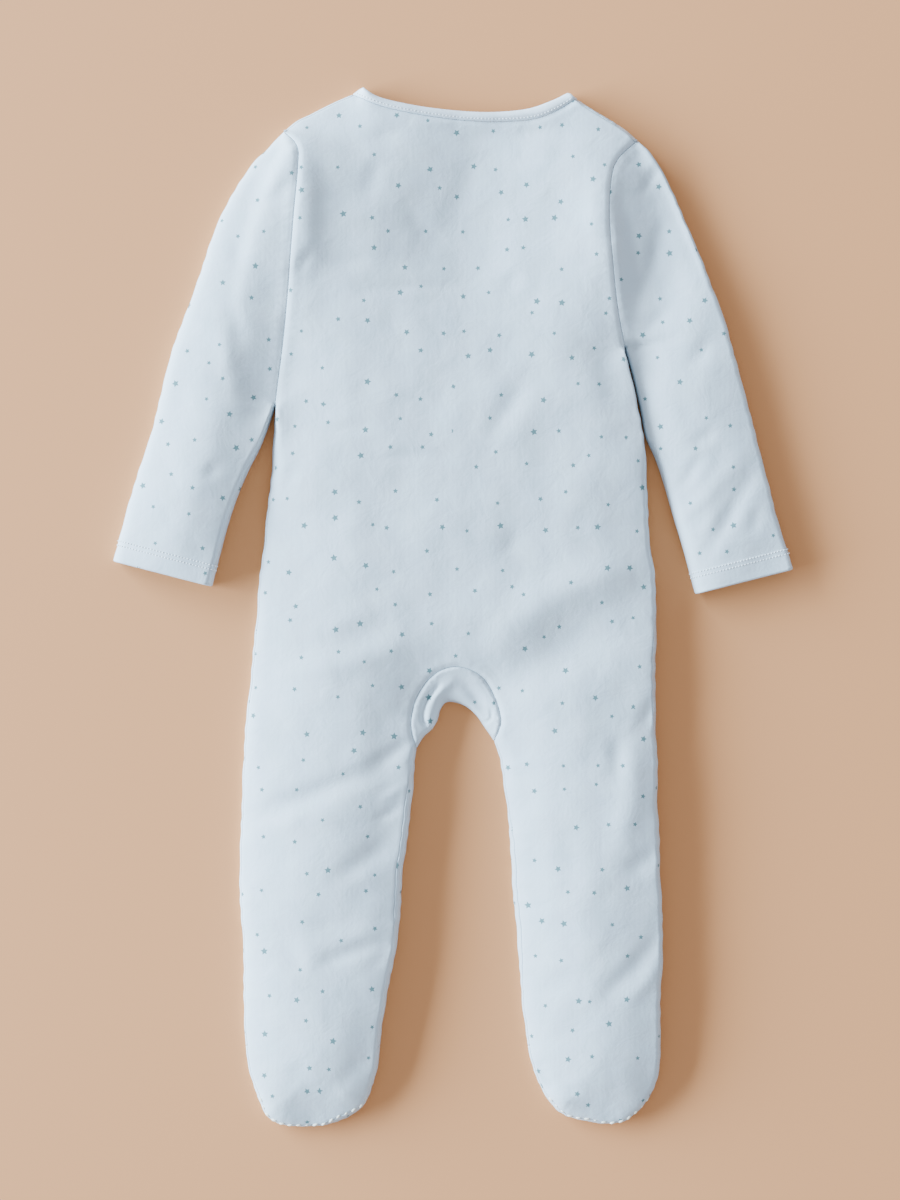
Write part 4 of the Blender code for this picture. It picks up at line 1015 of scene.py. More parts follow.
def sleeve_layers(form, side):
    """Height functions of a sleeve's lofted and flat side."""
    return (partial(form.sleeve_top, side=side),
            partial(form.under, rolled=form.roll_of[side]))


def arc_table(width, height):
    """Distance from an outline and length of the rolled surface up to it."""
    t = np.linspace(0.0, 1.0, ARC_POINTS) ** 2
    across, up = width * t, height * rounded(t)
    return across, lengths(np.column_stack([across, up]))


class Unrolled:
    """Flat place of the cloth, so that the print runs on round a rolled edge."""

    def __init__(self, lines, outlines, home, roll_top, shift):
        self.edges = [(named(lines, name), -inward(named(lines, name), INSIDE[name]))
                      for name in outlines]
        self.home = home
        self.arcs = {"top": arc_table(*roll_top), "under": arc_table(UNDER_ROLL, EDGE_Z)}
        self.shift = np.array(shift)

    def flat(self, points, layer):
        best = np.full(len(points), np.inf)
        foot = points.copy()
        out = np.zeros_like(points)
        for line, normals in self.edges:
            distance, place = nearest(points, line)
            s = lengths(line)
            closer = distance < best
            best[closer] = distance[closer]
            for k in range(2):
                foot[closer, k] = np.interp(place[closer], s, line[:, k])
                out[closer, k] = np.interp(place[closer], s, normals[:, k])
        across, arc = self.arcs[self.home]
        if layer == self.home:
            spare = (arc[-1] - np.interp(best, across, arc)) - (
                across[-1] - np.minimum(best, across[-1]))
            place = points + spare[:, None] * out
        else:
            spare = arc[-1] - across[-1]
            across, arc = self.arcs[layer]
            beyond = np.interp(best, across, arc) + np.maximum(best - across[-1], 0.0)
            place = foot + (spare + beyond)[:, None] * out
        return place + self.shift


# ---- pieces -------------------------------------------------------------
def loop(*lines):
    """A closed outline from lines that follow one another."""
    out = []
    for point in np.vstack(lines):
        if not out or key(out[-1]) != key(point):
            out.append(point)
    if key(out[0]) == key(out[-1]):
        out.pop()
    return np.array(out)


def inside(points, outline):
    """Which points lie inside a closed outline."""
    x, y = points.T
    hit = np.zeros(len(points), bool)
    for (x0, y0), (x1, y1) in zip(outline, np.roll(outline, -1, axis=0)):
        if y0 != y1:
            hit ^= ((y0 > y) != (y1 > y)) & (x < (x1 - x0) * (y - y0) / (y1 - y0) + x0)
    return hit


def grid(outline, cell):
    """Staggered rows of points over an outline's box."""
    low, high = outline.min(axis=0), outline.max(axis=0)
    row = cell * math.sqrt(0.75)
    points = []
    for k in range(int((high[1] - low[1]) / row) + 1):
        x = np.arange(low[0] + (k % 2) * 0.5 * cell, high[0], cell)
        points.append(np.column_stack([x, np.full(len(x), low[1] + k * row)]))
    return np.vstack(points)


def filled(outline, rows, cell):
    """Triangles over an outline: its own points, rows beside its edges, a grid."""
    border = np.vstack([outline, outline[:1]])
    kept = list(outline)
    for points, room in [*rows, (grid(outline, cell), CELL_ROOM * cell)]:
        points = points[inside(points, outline)]
        points = points[nearest(points, border)[0] > max(min(room, 0.5 * cell), BORDER_ROOM)]
        tree = kdtree.KDTree(len(kept))
        for k, point in enumerate(kept):
            tree.insert((*point, 0.0), k)
        tree.balance()
        kept += [p for p in points if tree.find((*p, 0.0))[2] > room]
    edges = [(k, (k + 1) % len(outline)) for k in range(len(outline))]
    _, _, faces, origin, _, _ = delaunay_2d_cdt([Vector(p) for p in kept], edges, [], 1, 1e-6)
    points = np.array(kept)
    triangles = []
    for face in faces:
        a, b, c = (origin[k][0] for k in face)
        u, v = points[b] - points[a], points[c] - points[a]
        triangles.append((a, b, c) if u[0] * v[1] - u[1] * v[0] > 0 else (a, c, b))
    return points, triangles


class Piece:
    """One cut piece: regions of the form, welded and given a wall."""

    def __init__(self, name, unrolled, edges, shared, materials):
        self.name, self.unrolled, self.materials = name, unrolled, materials
        self.edges, self.shared = edges, shared
        self.place, self.faces = {}, []
        self.points, self.normals, self.plan, self.flat = [], [], [], []

    def add(self, outline, height, layer, rows=(), cell=CELL_TOP, apart=""):
        """Fill an outline and lift it to its layer's height.

        Regions weld where they share a point, unless `apart` tells them apart.
        """
        plan, triangles = filled(outline, rows, cell)
        z = height(plan)
        normals = slope_normal(height, plan, layer == "top")
        flat = self.unrolled.flat(plan, layer)
        index = []
        for k, point in enumerate(plan):
            name = key(point)
            if name in self.edges:
                name, z[k], normals[k] = (name, "edge"), EDGE_Z, self.edges[name]
            else:
                if (name, layer) in self.shared:
                    z[k], normals[k] = self.shared[name, layer]
                name = (name, layer, apart)
            if name not in self.place:
                self.place[name] = len(self.points)
                self.points.append((*point, z[k]))
                self.normals.append(normals[k])
                self.plan.append(point)
                self.flat.append(flat[k])
            index.append(self.place[name])
        for a, b, c in triangles:
            order = (a, b, c) if layer == "top" else (a, c, b)
            self.faces.append(tuple(index[k] for k in order))

    def border(self, points):
        """Border edges, and at each border point the way into the surface."""
        third = {(face[k], face[(k + 1) % 3]): face[(k + 2) % 3]
                 for face in self.faces for k in range(3)}
        edges = [edge for edge in third if edge[::-1] not in third]
        ways = {}
        for a, b in edges:
            run = unit(points[b] - points[a])
            way = points[third[a, b]] - points[a]
            way = unit(way - (way @ run) * run)
            ways.setdefault(a, []).append(way)
            ways.setdefault(b, []).append(way)
        into = {}
        for k, pair in ways.items():
            total = np.sum(pair, axis=0)
            size = np.linalg.norm(total)
            into[k] = (total / size, max(size / len(pair), SHARPEST))
        return edges, into

    def build(self, wall):
        """The closed shell: outer and inner faces with a rounded border between."""
        outer, normals = np.array(self.points), np.array(self.normals)
        walls = wall(np.array(self.plan)) if callable(wall) else np.full(len(outer), wall)
        half = 0.5 * walls
        edges, into = self.border(outer)
        for k, (way, share) in into.items():
            outer[k] += (0.5 * SEAM_GAP + half[k]) / share * way
        outer[:, 2] = np.maximum(outer[:, 2], 0.0)
        inner = outer - 2.0 * half[:, None] * normals
        count, turns = len(outer), len(BORDER_TURNS)
        points, rings = [outer, inner], {}
        flat = [*self.flat, *self.flat]
        for k, (way, _) in into.items():
            start = len(flat)
            ring = np.array([0.5 * (outer[k] + inner[k]) + half[k] * (
                math.cos(turn) * normals[k] - math.sin(turn) * way) for turn in BORDER_TURNS])
            ring[:, 2] = np.maximum(ring[:, 2], 0.0)
            points.append(ring)
            flat += [self.flat[k]] * turns
            rings[k] = [k, *range(start, start + turns), k + count]
        faces = self.faces + [tuple(k + count for k in face[::-1]) for face in self.faces]
        kinds = [0] * len(self.faces) + [1] * len(self.faces)
        for a, b in edges:
            for step in range(turns + 1):
                faces.append((rings[b][step], rings[a][step],
                              rings[a][step + 1], rings[b][step + 1]))
                kinds.append(0 if step < (turns + 1) // 2 else 1)
        return shell(self.name, np.vstack(points), faces, kinds, np.array(flat),
                     self.materials)


def placed(name, data):
    """A new object in the scene."""
    thing = bpy.data.objects.new(name, data)
    bpy.context.collection.objects.link(thing)
    return thing


def shell(name, points, faces, kinds, flat, materials):
    """A mesh object in metres with its flat places as UVs, in millimetres."""
    mesh = bpy.data.meshes.new(name)
    mesh.from_pydata([tuple(p * MM) for p in points], [], faces)
    for material in materials:
        mesh.materials.append(material)
    mesh.polygons.foreach_set("material_index", np.array(kinds, np.int32))
    layer = mesh.uv_layers.new(name="flat")
    corner = np.zeros(len(mesh.loops), np.int32)
    mesh.loops.foreach_get("vertex_index", corner)
    layer.data.foreach_set("uv", flat[corner].astype(np.float32).ravel())
    mesh.shade_smooth()
    mesh.update()
    return placed(name, mesh)


def beside(line, inside_point, distances):
    """Rows of points at set distances to one side of a line, each with its room."""
    normal = inward(line, inside_point)
    steps = np.diff(distances, prepend=0.0)
    return [(line + far * normal, ROW_ROOM * step) for far, step in zip(distances, steps)]


def rows_for(lines, names, distances):
    """Rows beside several named outlines, nearest rows first."""
    found = [beside(named(lines, name), INSIDE[name], distances) for name in names]
    return [row for rows in zip(*found) for row in rows]


def make_back(form, lines, new):
    names = [(name, side) for side in SIDES for name in ("shoulder", "side", "foot", "inner")]
    piece = new("back", names)
    left, right = ([lines["armhole", side][1:-1]] + [
        lines[name + " seam", side] for name in ("side", "foot", "inner")] for side in SIDES)
    outline = loop(lines["shoulder seam", "left"], lines["neck"][1:-1],
                   lines["shoulder seam", "right"][::-1], *right, lines["arch"][1:-1][::-1],
                   *(line[::-1] for line in left[::-1]))
    rows = rows_for(lines, names, TOP_ROWS)
    for name, within in ((("armhole", "left"), CHEST), (("armhole", "right"), CHEST),
                         ("neck", CHEST), ("arch", HIPS)):
        rows += beside(lines[name][1:-1], within, SEAM_ROWS)
    piece.add(outline, form.body_top, "top", rows)
    return piece.build(WALL)


def add_strip(piece, form, lines, name, side):
    """The part of a front between the outline and the seam above it."""
    outline = loop(lines[name, side], lines[name + " seam", side][::-1])
    piece.add(outline, form.body_top, "top", cell=CELL_STRIP)


def make_front(form, lines, new, side):
    names = [(name, side) for name in ("shoulder", "side", "inner")]
    piece = new("front_" + side, names, "under")
    turn = 1 if side == "left" else -1
    neck, arch = (lines[name, side][::turn] for name in ("front neck", "front arch"))
    centre = np.array([neck[-1], arch[-1]])
    outline = loop(
        lines["shoulder", side], neck, sampled(centre), arch[::-1],
        lines["inner", side][::-1], lines["ankle", side][::-1], lines["side", side][::-1],
        lines["armhole under", side][::-1])
    climb = CENTRE_X - LAP if side == "left" else CENTRE_X + LAP + LAP_CLEAR
    rows = rows_for(lines, names, UNDER_ROWS)
    y = np.arange(arch[-1, 1] + LAP_FIRST, neck[-1, 1], LAP_PITCH)
    for x in (climb, climb - turn * LAP_RAMP):
        rows.append((np.column_stack([np.full(len(y), x), y]), 0.5 * LAP_PITCH))
    piece.add(outline, partial(form.front, side=side), "under", rows, CELL_UNDER)
    for name, _ in names:
        add_strip(piece, form, lines, name, side)
    return piece.build(WALL)


def make_foot(form, lines, new, side):
    names = [("foot", side)]
    piece = new("foot_top_" + side, names, "under")
    outline = loop(lines["foot", side], lines["ankle", side][::-1])
    rows = rows_for(lines, names, UNDER_ROWS)
    piece.add(outline, form.under, "under", rows, CELL_UNDER)
    add_strip(piece, form, lines, "foot", side)
    return piece.build(WALL)


def make_sleeve(form, lines, new, side):
    """A tube: one piece folded at its outer edge."""
    names = [("sleeve outer", side), ("sleeve inner", side)]
    piece = new("sleeve_" + side, names[:1], "top", SLEEVE_ROLL[side][0])
    hem = lines["hem", side]
    up = inward(hem, UNDERARM[side])
    hem_rows = [(hem + distance * up, HEM_ROOM) for distance in HEM_ROWS]
    seam_rows = beside(lines["armhole", side][1:-1], INSIDE[names[0]], SEAM_ROWS)
    top, under = sleeve_layers(form, side)
    for layer, height, armhole, distances, extra, cell in (
            ("top", top, "armhole", TOP_ROWS, seam_rows, CELL_TOP),
            ("under", under, "armhole under", UNDER_ROWS, [], CELL_UNDER)):
        outline = loop(lines[armhole, side], lines["sleeve inner", side], hem[::-1],
                       lines["sleeve outer", side][::-1])
        rows = rows_for(lines, names, distances) + hem_rows + extra
        piece.add(outline, height, layer, rows, cell)
    return piece.build(
        lambda plan: WALL + (HEM_WALL - WALL) * hem_share(nearest(plan, hem)[0]))


def make_gusset(form, lines, new):
    names = [("crotch", "")]
    piece = new("gusset", names)
    under_rows = rows_for(lines, names, UNDER_ROWS)
    top_rows = rows_for(lines, names, TOP_ROWS[:3])
    top_rows += beside(lines["arch"][1:-1], BELOW_ARCH, GUSSET_ROWS)
    for line, height, layer, rows, cell in (
            ("arch", form.gusset_top, "top", top_rows, CELL_SMALL),
            ("front arch", form.under, "under", under_rows, CELL_STRIP)):
        piece.add(loop(lines[line], lines["crotch"][::-1]), height, layer, rows, cell)
    return piece.build(WALL)


def make_binding(form, lines, new):
    piece = new("neck_binding", [("tip", side) for side in SIDES])
    outline = loop(lines["rim"], lines["tip", "right"][::-1], lines["neck"][::-1],
                   lines["tip", "left"])
    piece.add(outline, form.binding_top, "top", cell=CELL_SMALL)
    for side in SIDES:
        edge, rim, tip = (lines[name, side] for name in ("front neck", "front rim", "tip"))
        ends = (rim[::-1], tip[::-1]) if side == "left" else (tip, rim[::-1])
        outline = loop(edge, *ends)
        piece.add(outline, partial(form.front, side=side), "under", cell=CELL_STRIP, apart=side)
    return piece.build(BINDING_WALL)


def lathe(name, profile, sides, centre, material):
    """A closed turned solid. profile holds radius and height, from its lower middle."""
    turn = np.linspace(0.0, 2.0 * math.pi, sides, endpoint=False)
    points = [(*centre, profile[0][1])]
    for radius, z in profile[1:-1]:
        points += [(centre[0] + radius * math.cos(a), centre[1] + radius * math.sin(a), z)
                   for a in turn]
    points.append((*centre, profile[-1][1]))
    last = 1 + (len(profile) - 3) * sides
    faces = []
    for k in range(sides):
        n = (k + 1) % sides
        faces += [(0, 1 + n, 1 + k), (last + k, last + n, len(points) - 1)]
        faces += [(a + k, a + n, a + sides + n, a + sides + k) for a in range(1, last, sides)]
    points = np.array(points)
    return shell(name, points, faces, [0] * len(faces), points[:, :2], [material])


# ---- materials ----------------------------------------------------------
def linear(colour):
    """A hex sRGB colour as linear RGBA."""
    parts = [int(colour[k:k + 2], 16) / 255.0 for k in (1, 3, 5)]
    return tuple(p / 12.92 if p <= 0.04045 else ((p + 0.055) / 1.055) ** 2.4
                 for p in parts) + (1.0,)


def fill(tree, target, inputs):
    """Give a node values, or links where the value is a socket, by name or place."""
    for where, value in inputs.items():
        if isinstance(value, bpy.types.NodeSocket):
            tree.links.new(value, target.inputs[where])
        else:
            target.inputs[where].default_value = value


def node(tree, kind, inputs=None, **settings):
    """A new node with its settings and inputs."""
    new = tree.nodes.new(kind)
    for name, value in settings.items():
        setattr(new, name, value)
    fill(tree, new, inputs or {})
    return new


def maths(tree, operation, *values):
    """The result of a maths node."""
    return node(tree, "ShaderNodeMath", dict(enumerate(values)), operation=operation).outputs[0]


def noise(tree, place, scale, detail=2.0, **more):
    """The value of a noise texture."""
    return node(tree, "ShaderNodeTexNoise", {"Vector": place, "Scale": scale, "Detail": detail,
                                             **more}).outputs[0]


def mapped(tree, value, low, high, names="To", **settings):
    """A value whose range from 0 to 1 is mapped to, or where named from, two ends."""
    return node(tree, "ShaderNodeMapRange", {"Value": value, names + " Min": low,
                                             names + " Max": high}, **settings).outputs[0]


def tone(tree, share, low, high):
    """A colour between two, each a hex colour or a socket."""
    ends = {name: linear(end) if isinstance(end, str) else end
            for name, end in (("A", low), ("B", high))}
    return node(tree, "ShaderNodeMix", {"Factor": share, **ends},
                data_type="RGBA").outputs["Result"]


def bump(tree, height, distance, strength=1.0, **more):
    """Normals of a height in millimetres."""
    return node(tree, "ShaderNodeBump", {"Height": height, "Strength": strength,
                                         "Distance": distance * MM, **more}).outputs[0]


def finish(name, dress, **values):
    """A material. dress gives its shader's linked sockets; values are even all over."""
    made = bpy.data.materials.new(name)
    made.use_nodes = True
    tree = made.node_tree
    values = {where.replace("_", " "): value for where, value in values.items()}
    fill(tree, tree.nodes["Principled BSDF"], {**dress(tree), **values})
    return made


def cloth_bump(tree, flat, share):
    """Normals of interlock: its fine wales and courses, its fuzz, and the slight
    crumple of cotton that has been folded away."""
    part = node(tree, "ShaderNodeSeparateXYZ", {0: flat}).outputs
    wale, course = (
        maths(tree, "SINE", maths(tree, "MULTIPLY", part[axis], 2.0 * math.pi / pitch))
        for axis, pitch in (("X", WALE), ("Y", COURSE)))
    knit = maths(tree, "MULTIPLY_ADD", course, COURSE_SHARE, wale)
    fine = maths(tree, "MULTIPLY_ADD", noise(tree, flat, FUZZ_SCALE, 4.0, Roughness=0.7),
                 FUZZ_SHARE, knit)
    crumple = noise(tree, flat, CRUMPLE_SCALE, 3.0, Roughness=0.6, Distortion=0.4)
    return bump(tree, fine, KNIT_RELIEF * share, Normal=bump(tree, crumple, CRUMPLE * share))


def star_share(tree, flat):
    """1 inside the scattered five-point stars of the print and 0 outside."""
    def vector(operation, inputs):
        return node(tree, "ShaderNodeVectorMath", inputs, operation=operation).outputs

    scaled = vector("SCALE", {0: flat, 3: 1.0 / STAR_CELL})[0]
    spot = node(tree, "ShaderNodeTexVoronoi", {"Vector": scaled, "Scale": 1.0,
                                               "Randomness": STAR_SCATTER},
                voronoi_dimensions="2D", feature="F1").outputs["Position"]
    away = vector("SCALE", {0: vector("SUBTRACT", {0: scaled, 1: spot})[0], 3: STAR_CELL})[0]
    part = node(tree, "ShaderNodeSeparateXYZ", {0: away}).outputs
    chance = node(tree, "ShaderNodeTexWhiteNoise", {"Vector": spot}, noise_dimensions="2D")
    roll = node(tree, "ShaderNodeSeparateColor", {0: chance.outputs["Color"]}).outputs
    turn = maths(tree, "MULTIPLY_ADD", roll[0], 2.0 * math.pi,
                 maths(tree, "ARCTAN2", part["Y"], part["X"]))
    fold = maths(tree, "PINGPONG", turn, math.pi / 5.0)
    # distance to the straight side between a tip and the notch beside it
    side = maths(tree, "MULTIPLY_ADD", maths(tree, "SINE", fold), STAR_SLANT,
                 maths(tree, "COSINE", fold))
    reach = maths(tree, "MULTIPLY", vector("LENGTH", {0: away})["Value"], side)
    large = maths(tree, "LESS_THAN", roll[1], LARGE_SHARE)
    size = maths(tree, "MULTIPLY", mapped(tree, large, STAR_SMALL, STAR_LARGE),
                 mapped(tree, roll[0], *STAR_VARY))
    inked = mapped(tree, maths(tree, "SUBTRACT", size, reach), -STAR_SOFT, STAR_SOFT, "From",
                   interpolation_type="SMOOTHSTEP")
    return maths(tree, "MULTIPLY", inked, maths(tree, "GREATER_THAN", roll[2], STAR_MISSING))


def interlock(tones, drift, relief, printed=False):
    """How a knitted cotton is dressed: its drifting tone, its relief and its print."""
    def dress(tree):
        flat = node(tree, "ShaderNodeUVMap", uv_map="flat").outputs[0]
        share = mapped(tree, noise(tree, flat, drift, 3.0), *NOISE_SPAN, "From")
        colour = tone(tree, share, *tones)
        if printed:
            ink = tone(tree, noise(tree, flat, INK_SCALE), *INK)
            colour = tone(tree, star_share(tree, flat), colour, ink)
        return {"Base Color": colour, "Normal": cloth_bump(tree, flat, relief)}
    return dress


def sewing_thread(name, tones):
    """Spun polyester thread: two plies that catch a faint light."""
    def dress(tree):
        place = node(tree, "ShaderNodeTexCoord").outputs["Object"]
        twist = noise(tree, place, PLY_SCALE)
        return {"Base Color": tone(tree, twist, *tones),
                "Normal": bump(tree, twist, PLY_RELIEF, strength=0.4)}
    return finish(name, dress, Roughness=0.6)


def popper_plastic():
    """White acetal of the press fasteners: smooth, faintly mottled, softly shiny."""
    def dress(tree):
        place = node(tree, "ShaderNodeTexCoord").outputs["Object"]
        grain = noise(tree, place, MOTTLE_SCALE, 3.0)
        return {"Base Color": tone(tree, grain, *ACETAL),
                "Roughness": mapped(tree, grain, *ACETAL_ROUGHNESS)}
    return finish("acetal_popper", dress)


def pale_table():
    """Satin lacquer, which mirrors a little of the room, so that shadows aren't too warm."""
    def dress(tree):
        place = node(tree, "ShaderNodeTexCoord").outputs["Object"]
        return {"Base Color": tone(tree, noise(tree, place, TABLE_SCALE, 3.0), *TABLE)}
    return finish("pale_table", dress, Roughness=0.9, IOR=1.8, Specular_IOR_Level=1.0)


# ---- stitching ----------------------------------------------------------
def stitch_group():
    """Geometry nodes that lay one small rounded stitch after another on a line."""
    group = bpy.data.node_groups.new("stitches", "GeometryNodeTree")
    sockets = {}
    for name, kind in (("Line", "Geometry"), ("Pitch", "Float"), ("Size", "Vector"),
                       ("Slant", "Float"), ("Jitter", "Float"), ("Seed", "Int"),
                       ("Thread", "Material")):
        item = group.interface.new_socket(name, in_out="INPUT", socket_type="NodeSocket" + kind)
        sockets[name] = item.identifier
    group.interface.new_socket("Stitches", in_out="OUTPUT", socket_type="NodeSocketGeometry")

    def add(kind, inputs=None, prefix="GeometryNode", **settings):
        return node(group, prefix + kind, inputs, **settings).outputs

    given = node(group, "NodeGroupInput").outputs
    curve = add("MeshToCurve", {0: given["Line"]})[0]
    line = add("ResampleCurve", {"Curve": curve, "Length": given["Pitch"]}, mode="LENGTH")[0]
    out = add("InputNamedAttribute", {"Name": "out"}, data_type="FLOAT_VECTOR")[0]
    tangent = add("InputTangent")[0]
    facing = add("AxesToRotation", {"Primary Axis": out, "Secondary Axis": tangent},
                 "FunctionNode", primary_axis="Z", secondary_axis="X")[0]
    low, high = (maths(group, operation, 1.0, given["Jitter"])
                 for operation in ("SUBTRACT", "ADD"))
    spread = add("RandomValue", {"Min": low, "Max": high, "Seed": given["Seed"]},
                 "FunctionNode", data_type="FLOAT")
    vary = next(socket for socket in spread if socket.enabled)
    scale = add("VectorMath", {0: given["Size"], "Scale": vary}, "ShaderNode",
                operation="SCALE")[0]
    turn = add("CombineXYZ", {"Z": maths(group, "MULTIPLY", vary, given["Slant"])},
               "ShaderNode")[0]
    lean = add("EulerToRotation", {0: turn}, "FunctionNode")[0]
    slanted = add("RotateRotation", {0: facing, 1: lean}, "FunctionNode",
                  rotation_space="LOCAL")[0]
    bead = add("MeshUVSphere", BEAD)[0]
    laid = add("InstanceOnPoints", {"Points": line, "Instance": bead, "Rotation": slanted,
                                    "Scale": scale})[0]
    real = add("RealizeInstances", {0: laid})[0]
    threaded = add("SetMaterial", {"Geometry": real, "Material": given["Thread"]})[0]
    node(group, "NodeGroupOutput", {0: add("SetShadeSmooth", {0: threaded})[0]})
    return group, sockets


def stitched(name, rows, tools, thread, pitch, size, slant, jitter, seed):
    """Stitches along rows of points, each row a list of places and outward normals."""
    group, sockets = tools
    points = [tuple(p * MM) for places, _ in rows for p in places]
    outs = np.vstack([normals for _, normals in rows]).astype(np.float32)
    edges, start = [], 0
    for places, _ in rows:
        edges += [(start + k, start + k + 1) for k in range(len(places) - 1)]
        start += len(places)
    line = bpy.data.meshes.new(name + "_line")
    line.from_pydata(points, edges, [])
    line.attributes.new("out", "FLOAT_VECTOR", "POINT").data.foreach_set("vector", outs.ravel())
    carrier = placed(name + "_carrier", line)
    modifier = carrier.modifiers.new("stitches", "NODES")
    modifier.node_group = group
    values = {"Pitch": pitch * MM, "Size": tuple(v * MM for v in size), "Slant": slant,
              "Jitter": jitter, "Seed": seed, "Thread": thread}
    for socket_name, value in values.items():
        modifier[sockets[socket_name]] = value
    carrier.update_tag()
    found = carrier.evaluated_get(bpy.context.evaluated_depsgraph_get())
    mesh = bpy.data.meshes.new_from_object(found)
    mesh.name = name
    bpy.data.objects.remove(carrier, do_unlink=True)
    return placed(name, mesh)


def on_surface(line, height, up, lift):
    """Places and outward normals along a plan line, lifted off the surface."""
    normals = slope_normal(height, line, up)
    return np.column_stack([line, height(line)]) + lift * normals, normals


def cuff_row(form, lines, side, distance):
    """A ring round a sleeve, a set distance up from its hem."""
    hem = lines["hem", side]
    shifted = hem + distance * inward(hem, UNDERARM[side])
    direction = shifted[-1] - shifted[0]
    ends = []
    for name in ("sleeve outer", "sleeve inner"):
        edge = lines[name, side]
        gap = (edge - shifted[0]) @ np.array([-direction[1], direction[0]])
        k = int(np.flatnonzero(gap[:-1] * gap[1:] <= 0.0)[-1])
        t = gap[k] / (gap[k] - gap[k + 1])
        ends.append(edge[k] + t * (edge[k + 1] - edge[k]))
    share = 0.5 - 0.5 * np.cos(np.linspace(0.0, math.pi, CUFF_POINTS))[1:-1, None]
    inner = ends[0] + share * (ends[1] - ends[0])
    over, under = sleeve_layers(form, side)
    top, top_out = on_surface(inner, over, True, CUFF_LIFT)
    low, low_out = on_surface(inner, under, False, 0.0)
    low[:, 2] = np.maximum(low[:, 2], CUFF_LOW)
    way = unit(ends[1] - ends[0])
    first, last = (np.append(end + sign * CUFF_LIFT * way, EDGE_Z)
                   for end, sign in zip(ends, (-1.0, 1.0)))
    out = np.append(way, 0.0)
    return (np.vstack([first, top, last, low[::-1], first]),
            np.vstack([-out, top_out, out, low_out[::-1], -out]))


def make_stitches(form, lines, threads):
    """Every visible row of sewing."""
    neck = lines["neck"]
    neck_row = (neck + BINDING_STITCH * inward(neck, BEYOND_NECK))[2:-2]
    y = np.linspace(*PLACKET_ENDS, PLACKET_POINTS)
    placket = [on_surface(np.column_stack([np.full(len(y), x), y]),
                          partial(form.front, side="left"), False, STITCH_LIFT)
               for x in PLACKET_STITCHES]
    rows = {"binding_stitches": [on_surface(neck_row, form.binding_top, True, STITCH_LIFT)],
            "placket_stitches": placket}
    for side in SIDES:
        rows["cuff_stitches_" + side] = [cuff_row(form, lines, side, distance)
                                         for distance in HEM_STITCHES]
        seam = lines["foot seam", side]
        rows["toe_overlock_" + side] = [
            on_surface(seam[seam[:, 1] < OVERLOCK_Y], form.body_top, True, -STITCH_LIFT)]
    tools = stitch_group()
    return {name: stitched(name, rows[name], tools, threads[tint], *sizes)
            for name, (_, tint, *sizes) in STITCHES.items()}


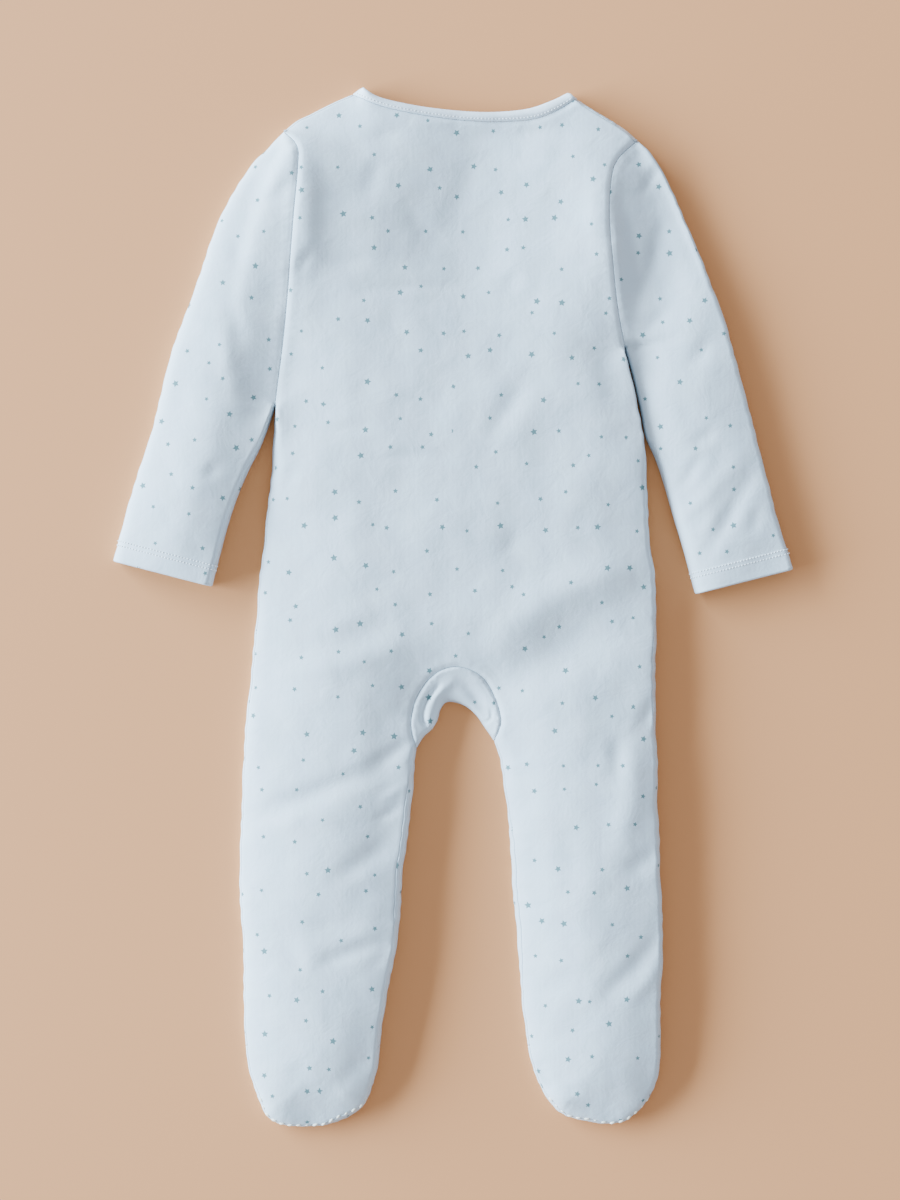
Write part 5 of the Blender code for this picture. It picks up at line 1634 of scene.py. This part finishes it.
# ---- scene --------------------------------------------------------------
def stage():
    """Floor, light and camera."""
    mesh = bpy.data.meshes.new("table_top")
    mesh.from_pydata([(x * FLOOR_HALF, y * FLOOR_HALF, 0.0)
                      for x, y in ((-1, -1), (1, -1), (1, 1), (-1, 1))], [], [(0, 1, 2, 3)])
    mesh.materials.append(pale_table())
    floor = placed("table_top", mesh)
    floor.location.z = FLOOR_Z
    for name, place, aim, size, power, tint in LIGHTS:
        lamp = bpy.data.lights.new(name, "AREA")
        lamp.shape = "RECTANGLE"
        lamp.size, lamp.size_y = size
        lamp.energy = power
        lamp.color = linear(tint)[:3]
        thing = placed(name, lamp)
        thing.location = place
        way = Vector(aim) - Vector(place)
        thing.rotation_euler = way.to_track_quat("-Z", "Y").to_euler()
    scene = bpy.context.scene
    scene.world = bpy.data.worlds.new("soft_room")
    scene.world.use_nodes = True
    back = scene.world.node_tree.nodes["Background"].inputs
    back["Color"].default_value = linear(ROOM_TINT)
    back["Strength"].default_value = ROOM_STRENGTH
    lens = bpy.data.cameras.new("above")
    lens.sensor_fit = "VERTICAL"
    lens.sensor_height = SENSOR_HEIGHT
    lens.lens = FOCAL_LENGTH
    scene.camera = placed("above", lens)
    scene.camera.location = CAMERA_PLACE


def main():
    stage()
    lines = plan_lines()
    form = Form(lines)
    edges, shared = edge_normals(lines), seam_points(form, lines)

    def new(name, outlines, home="top", roll_top=BODY_ROLL):
        unrolled = Unrolled(lines, outlines, home, roll_top, PRINT_SHIFTS[name])
        outer = binding if name == "neck_binding" else printed
        return Piece(name + "_cloth", unrolled, edges, shared, [outer, plain])

    # brushed white cotton interlock: matt, with soft knit ribs and teal stars printed
    # into the yarn, a little uneven in their ink
    printed = finish("printed_cotton_interlock",
                     interlock(COTTON, drift=0.05, relief=1.0, printed=True),
                     Roughness=0.92, Sheen_Weight=0.15, Sheen_Roughness=0.6)
    # the unprinted wrong side of the same cotton: duller and fuzzier
    plain = finish("plain_cotton_wrong_side", interlock(COTTON, drift=0.08, relief=1.3),
                   Roughness=0.95)
    # folded cotton binding: whiter and denser, its ribs across the neck edge
    binding = finish("cotton_binding", interlock(TRIM, drift=0.12, relief=0.8),
                     Roughness=0.9, Sheen_Weight=0.1)
    pieces = {"back": make_back(form, lines, new)}
    for side in SIDES:
        for name, make in (("front_", make_front), ("foot_top_", make_foot),
                           ("sleeve_", make_sleeve)):
            pieces[name + side] = make(form, lines, new, side)
    pieces["gusset"] = make_gusset(form, lines, new)
    pieces["neck_binding"] = make_binding(form, lines, new)
    acetal = popper_plastic()
    for number in range(POPPER_COUNT):
        centre = (CENTRE_X, POPPER_TOP_Y - POPPER_PITCH * number)
        pieces["popper_%d" % (number + 1)] = lathe(
            "cap_%d" % (number + 1), POPPER_PROFILE, POPPER_SIDES, centre, acetal)
    stitches = make_stitches(form, lines, {
        "white": sewing_thread("white_thread", WHITE_THREAD),
        "cream": sewing_thread("cream_overlock_thread", CREAM_THREAD)})
    for cad_name, piece in pieces.items():
        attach(piece, "root")
        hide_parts(cad_name)
        if cad_name.startswith("popper"):
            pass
        elif cad_name == "neck_binding":
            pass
        else:
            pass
    for piece in stitches.values():
        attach(piece, "root")


main()
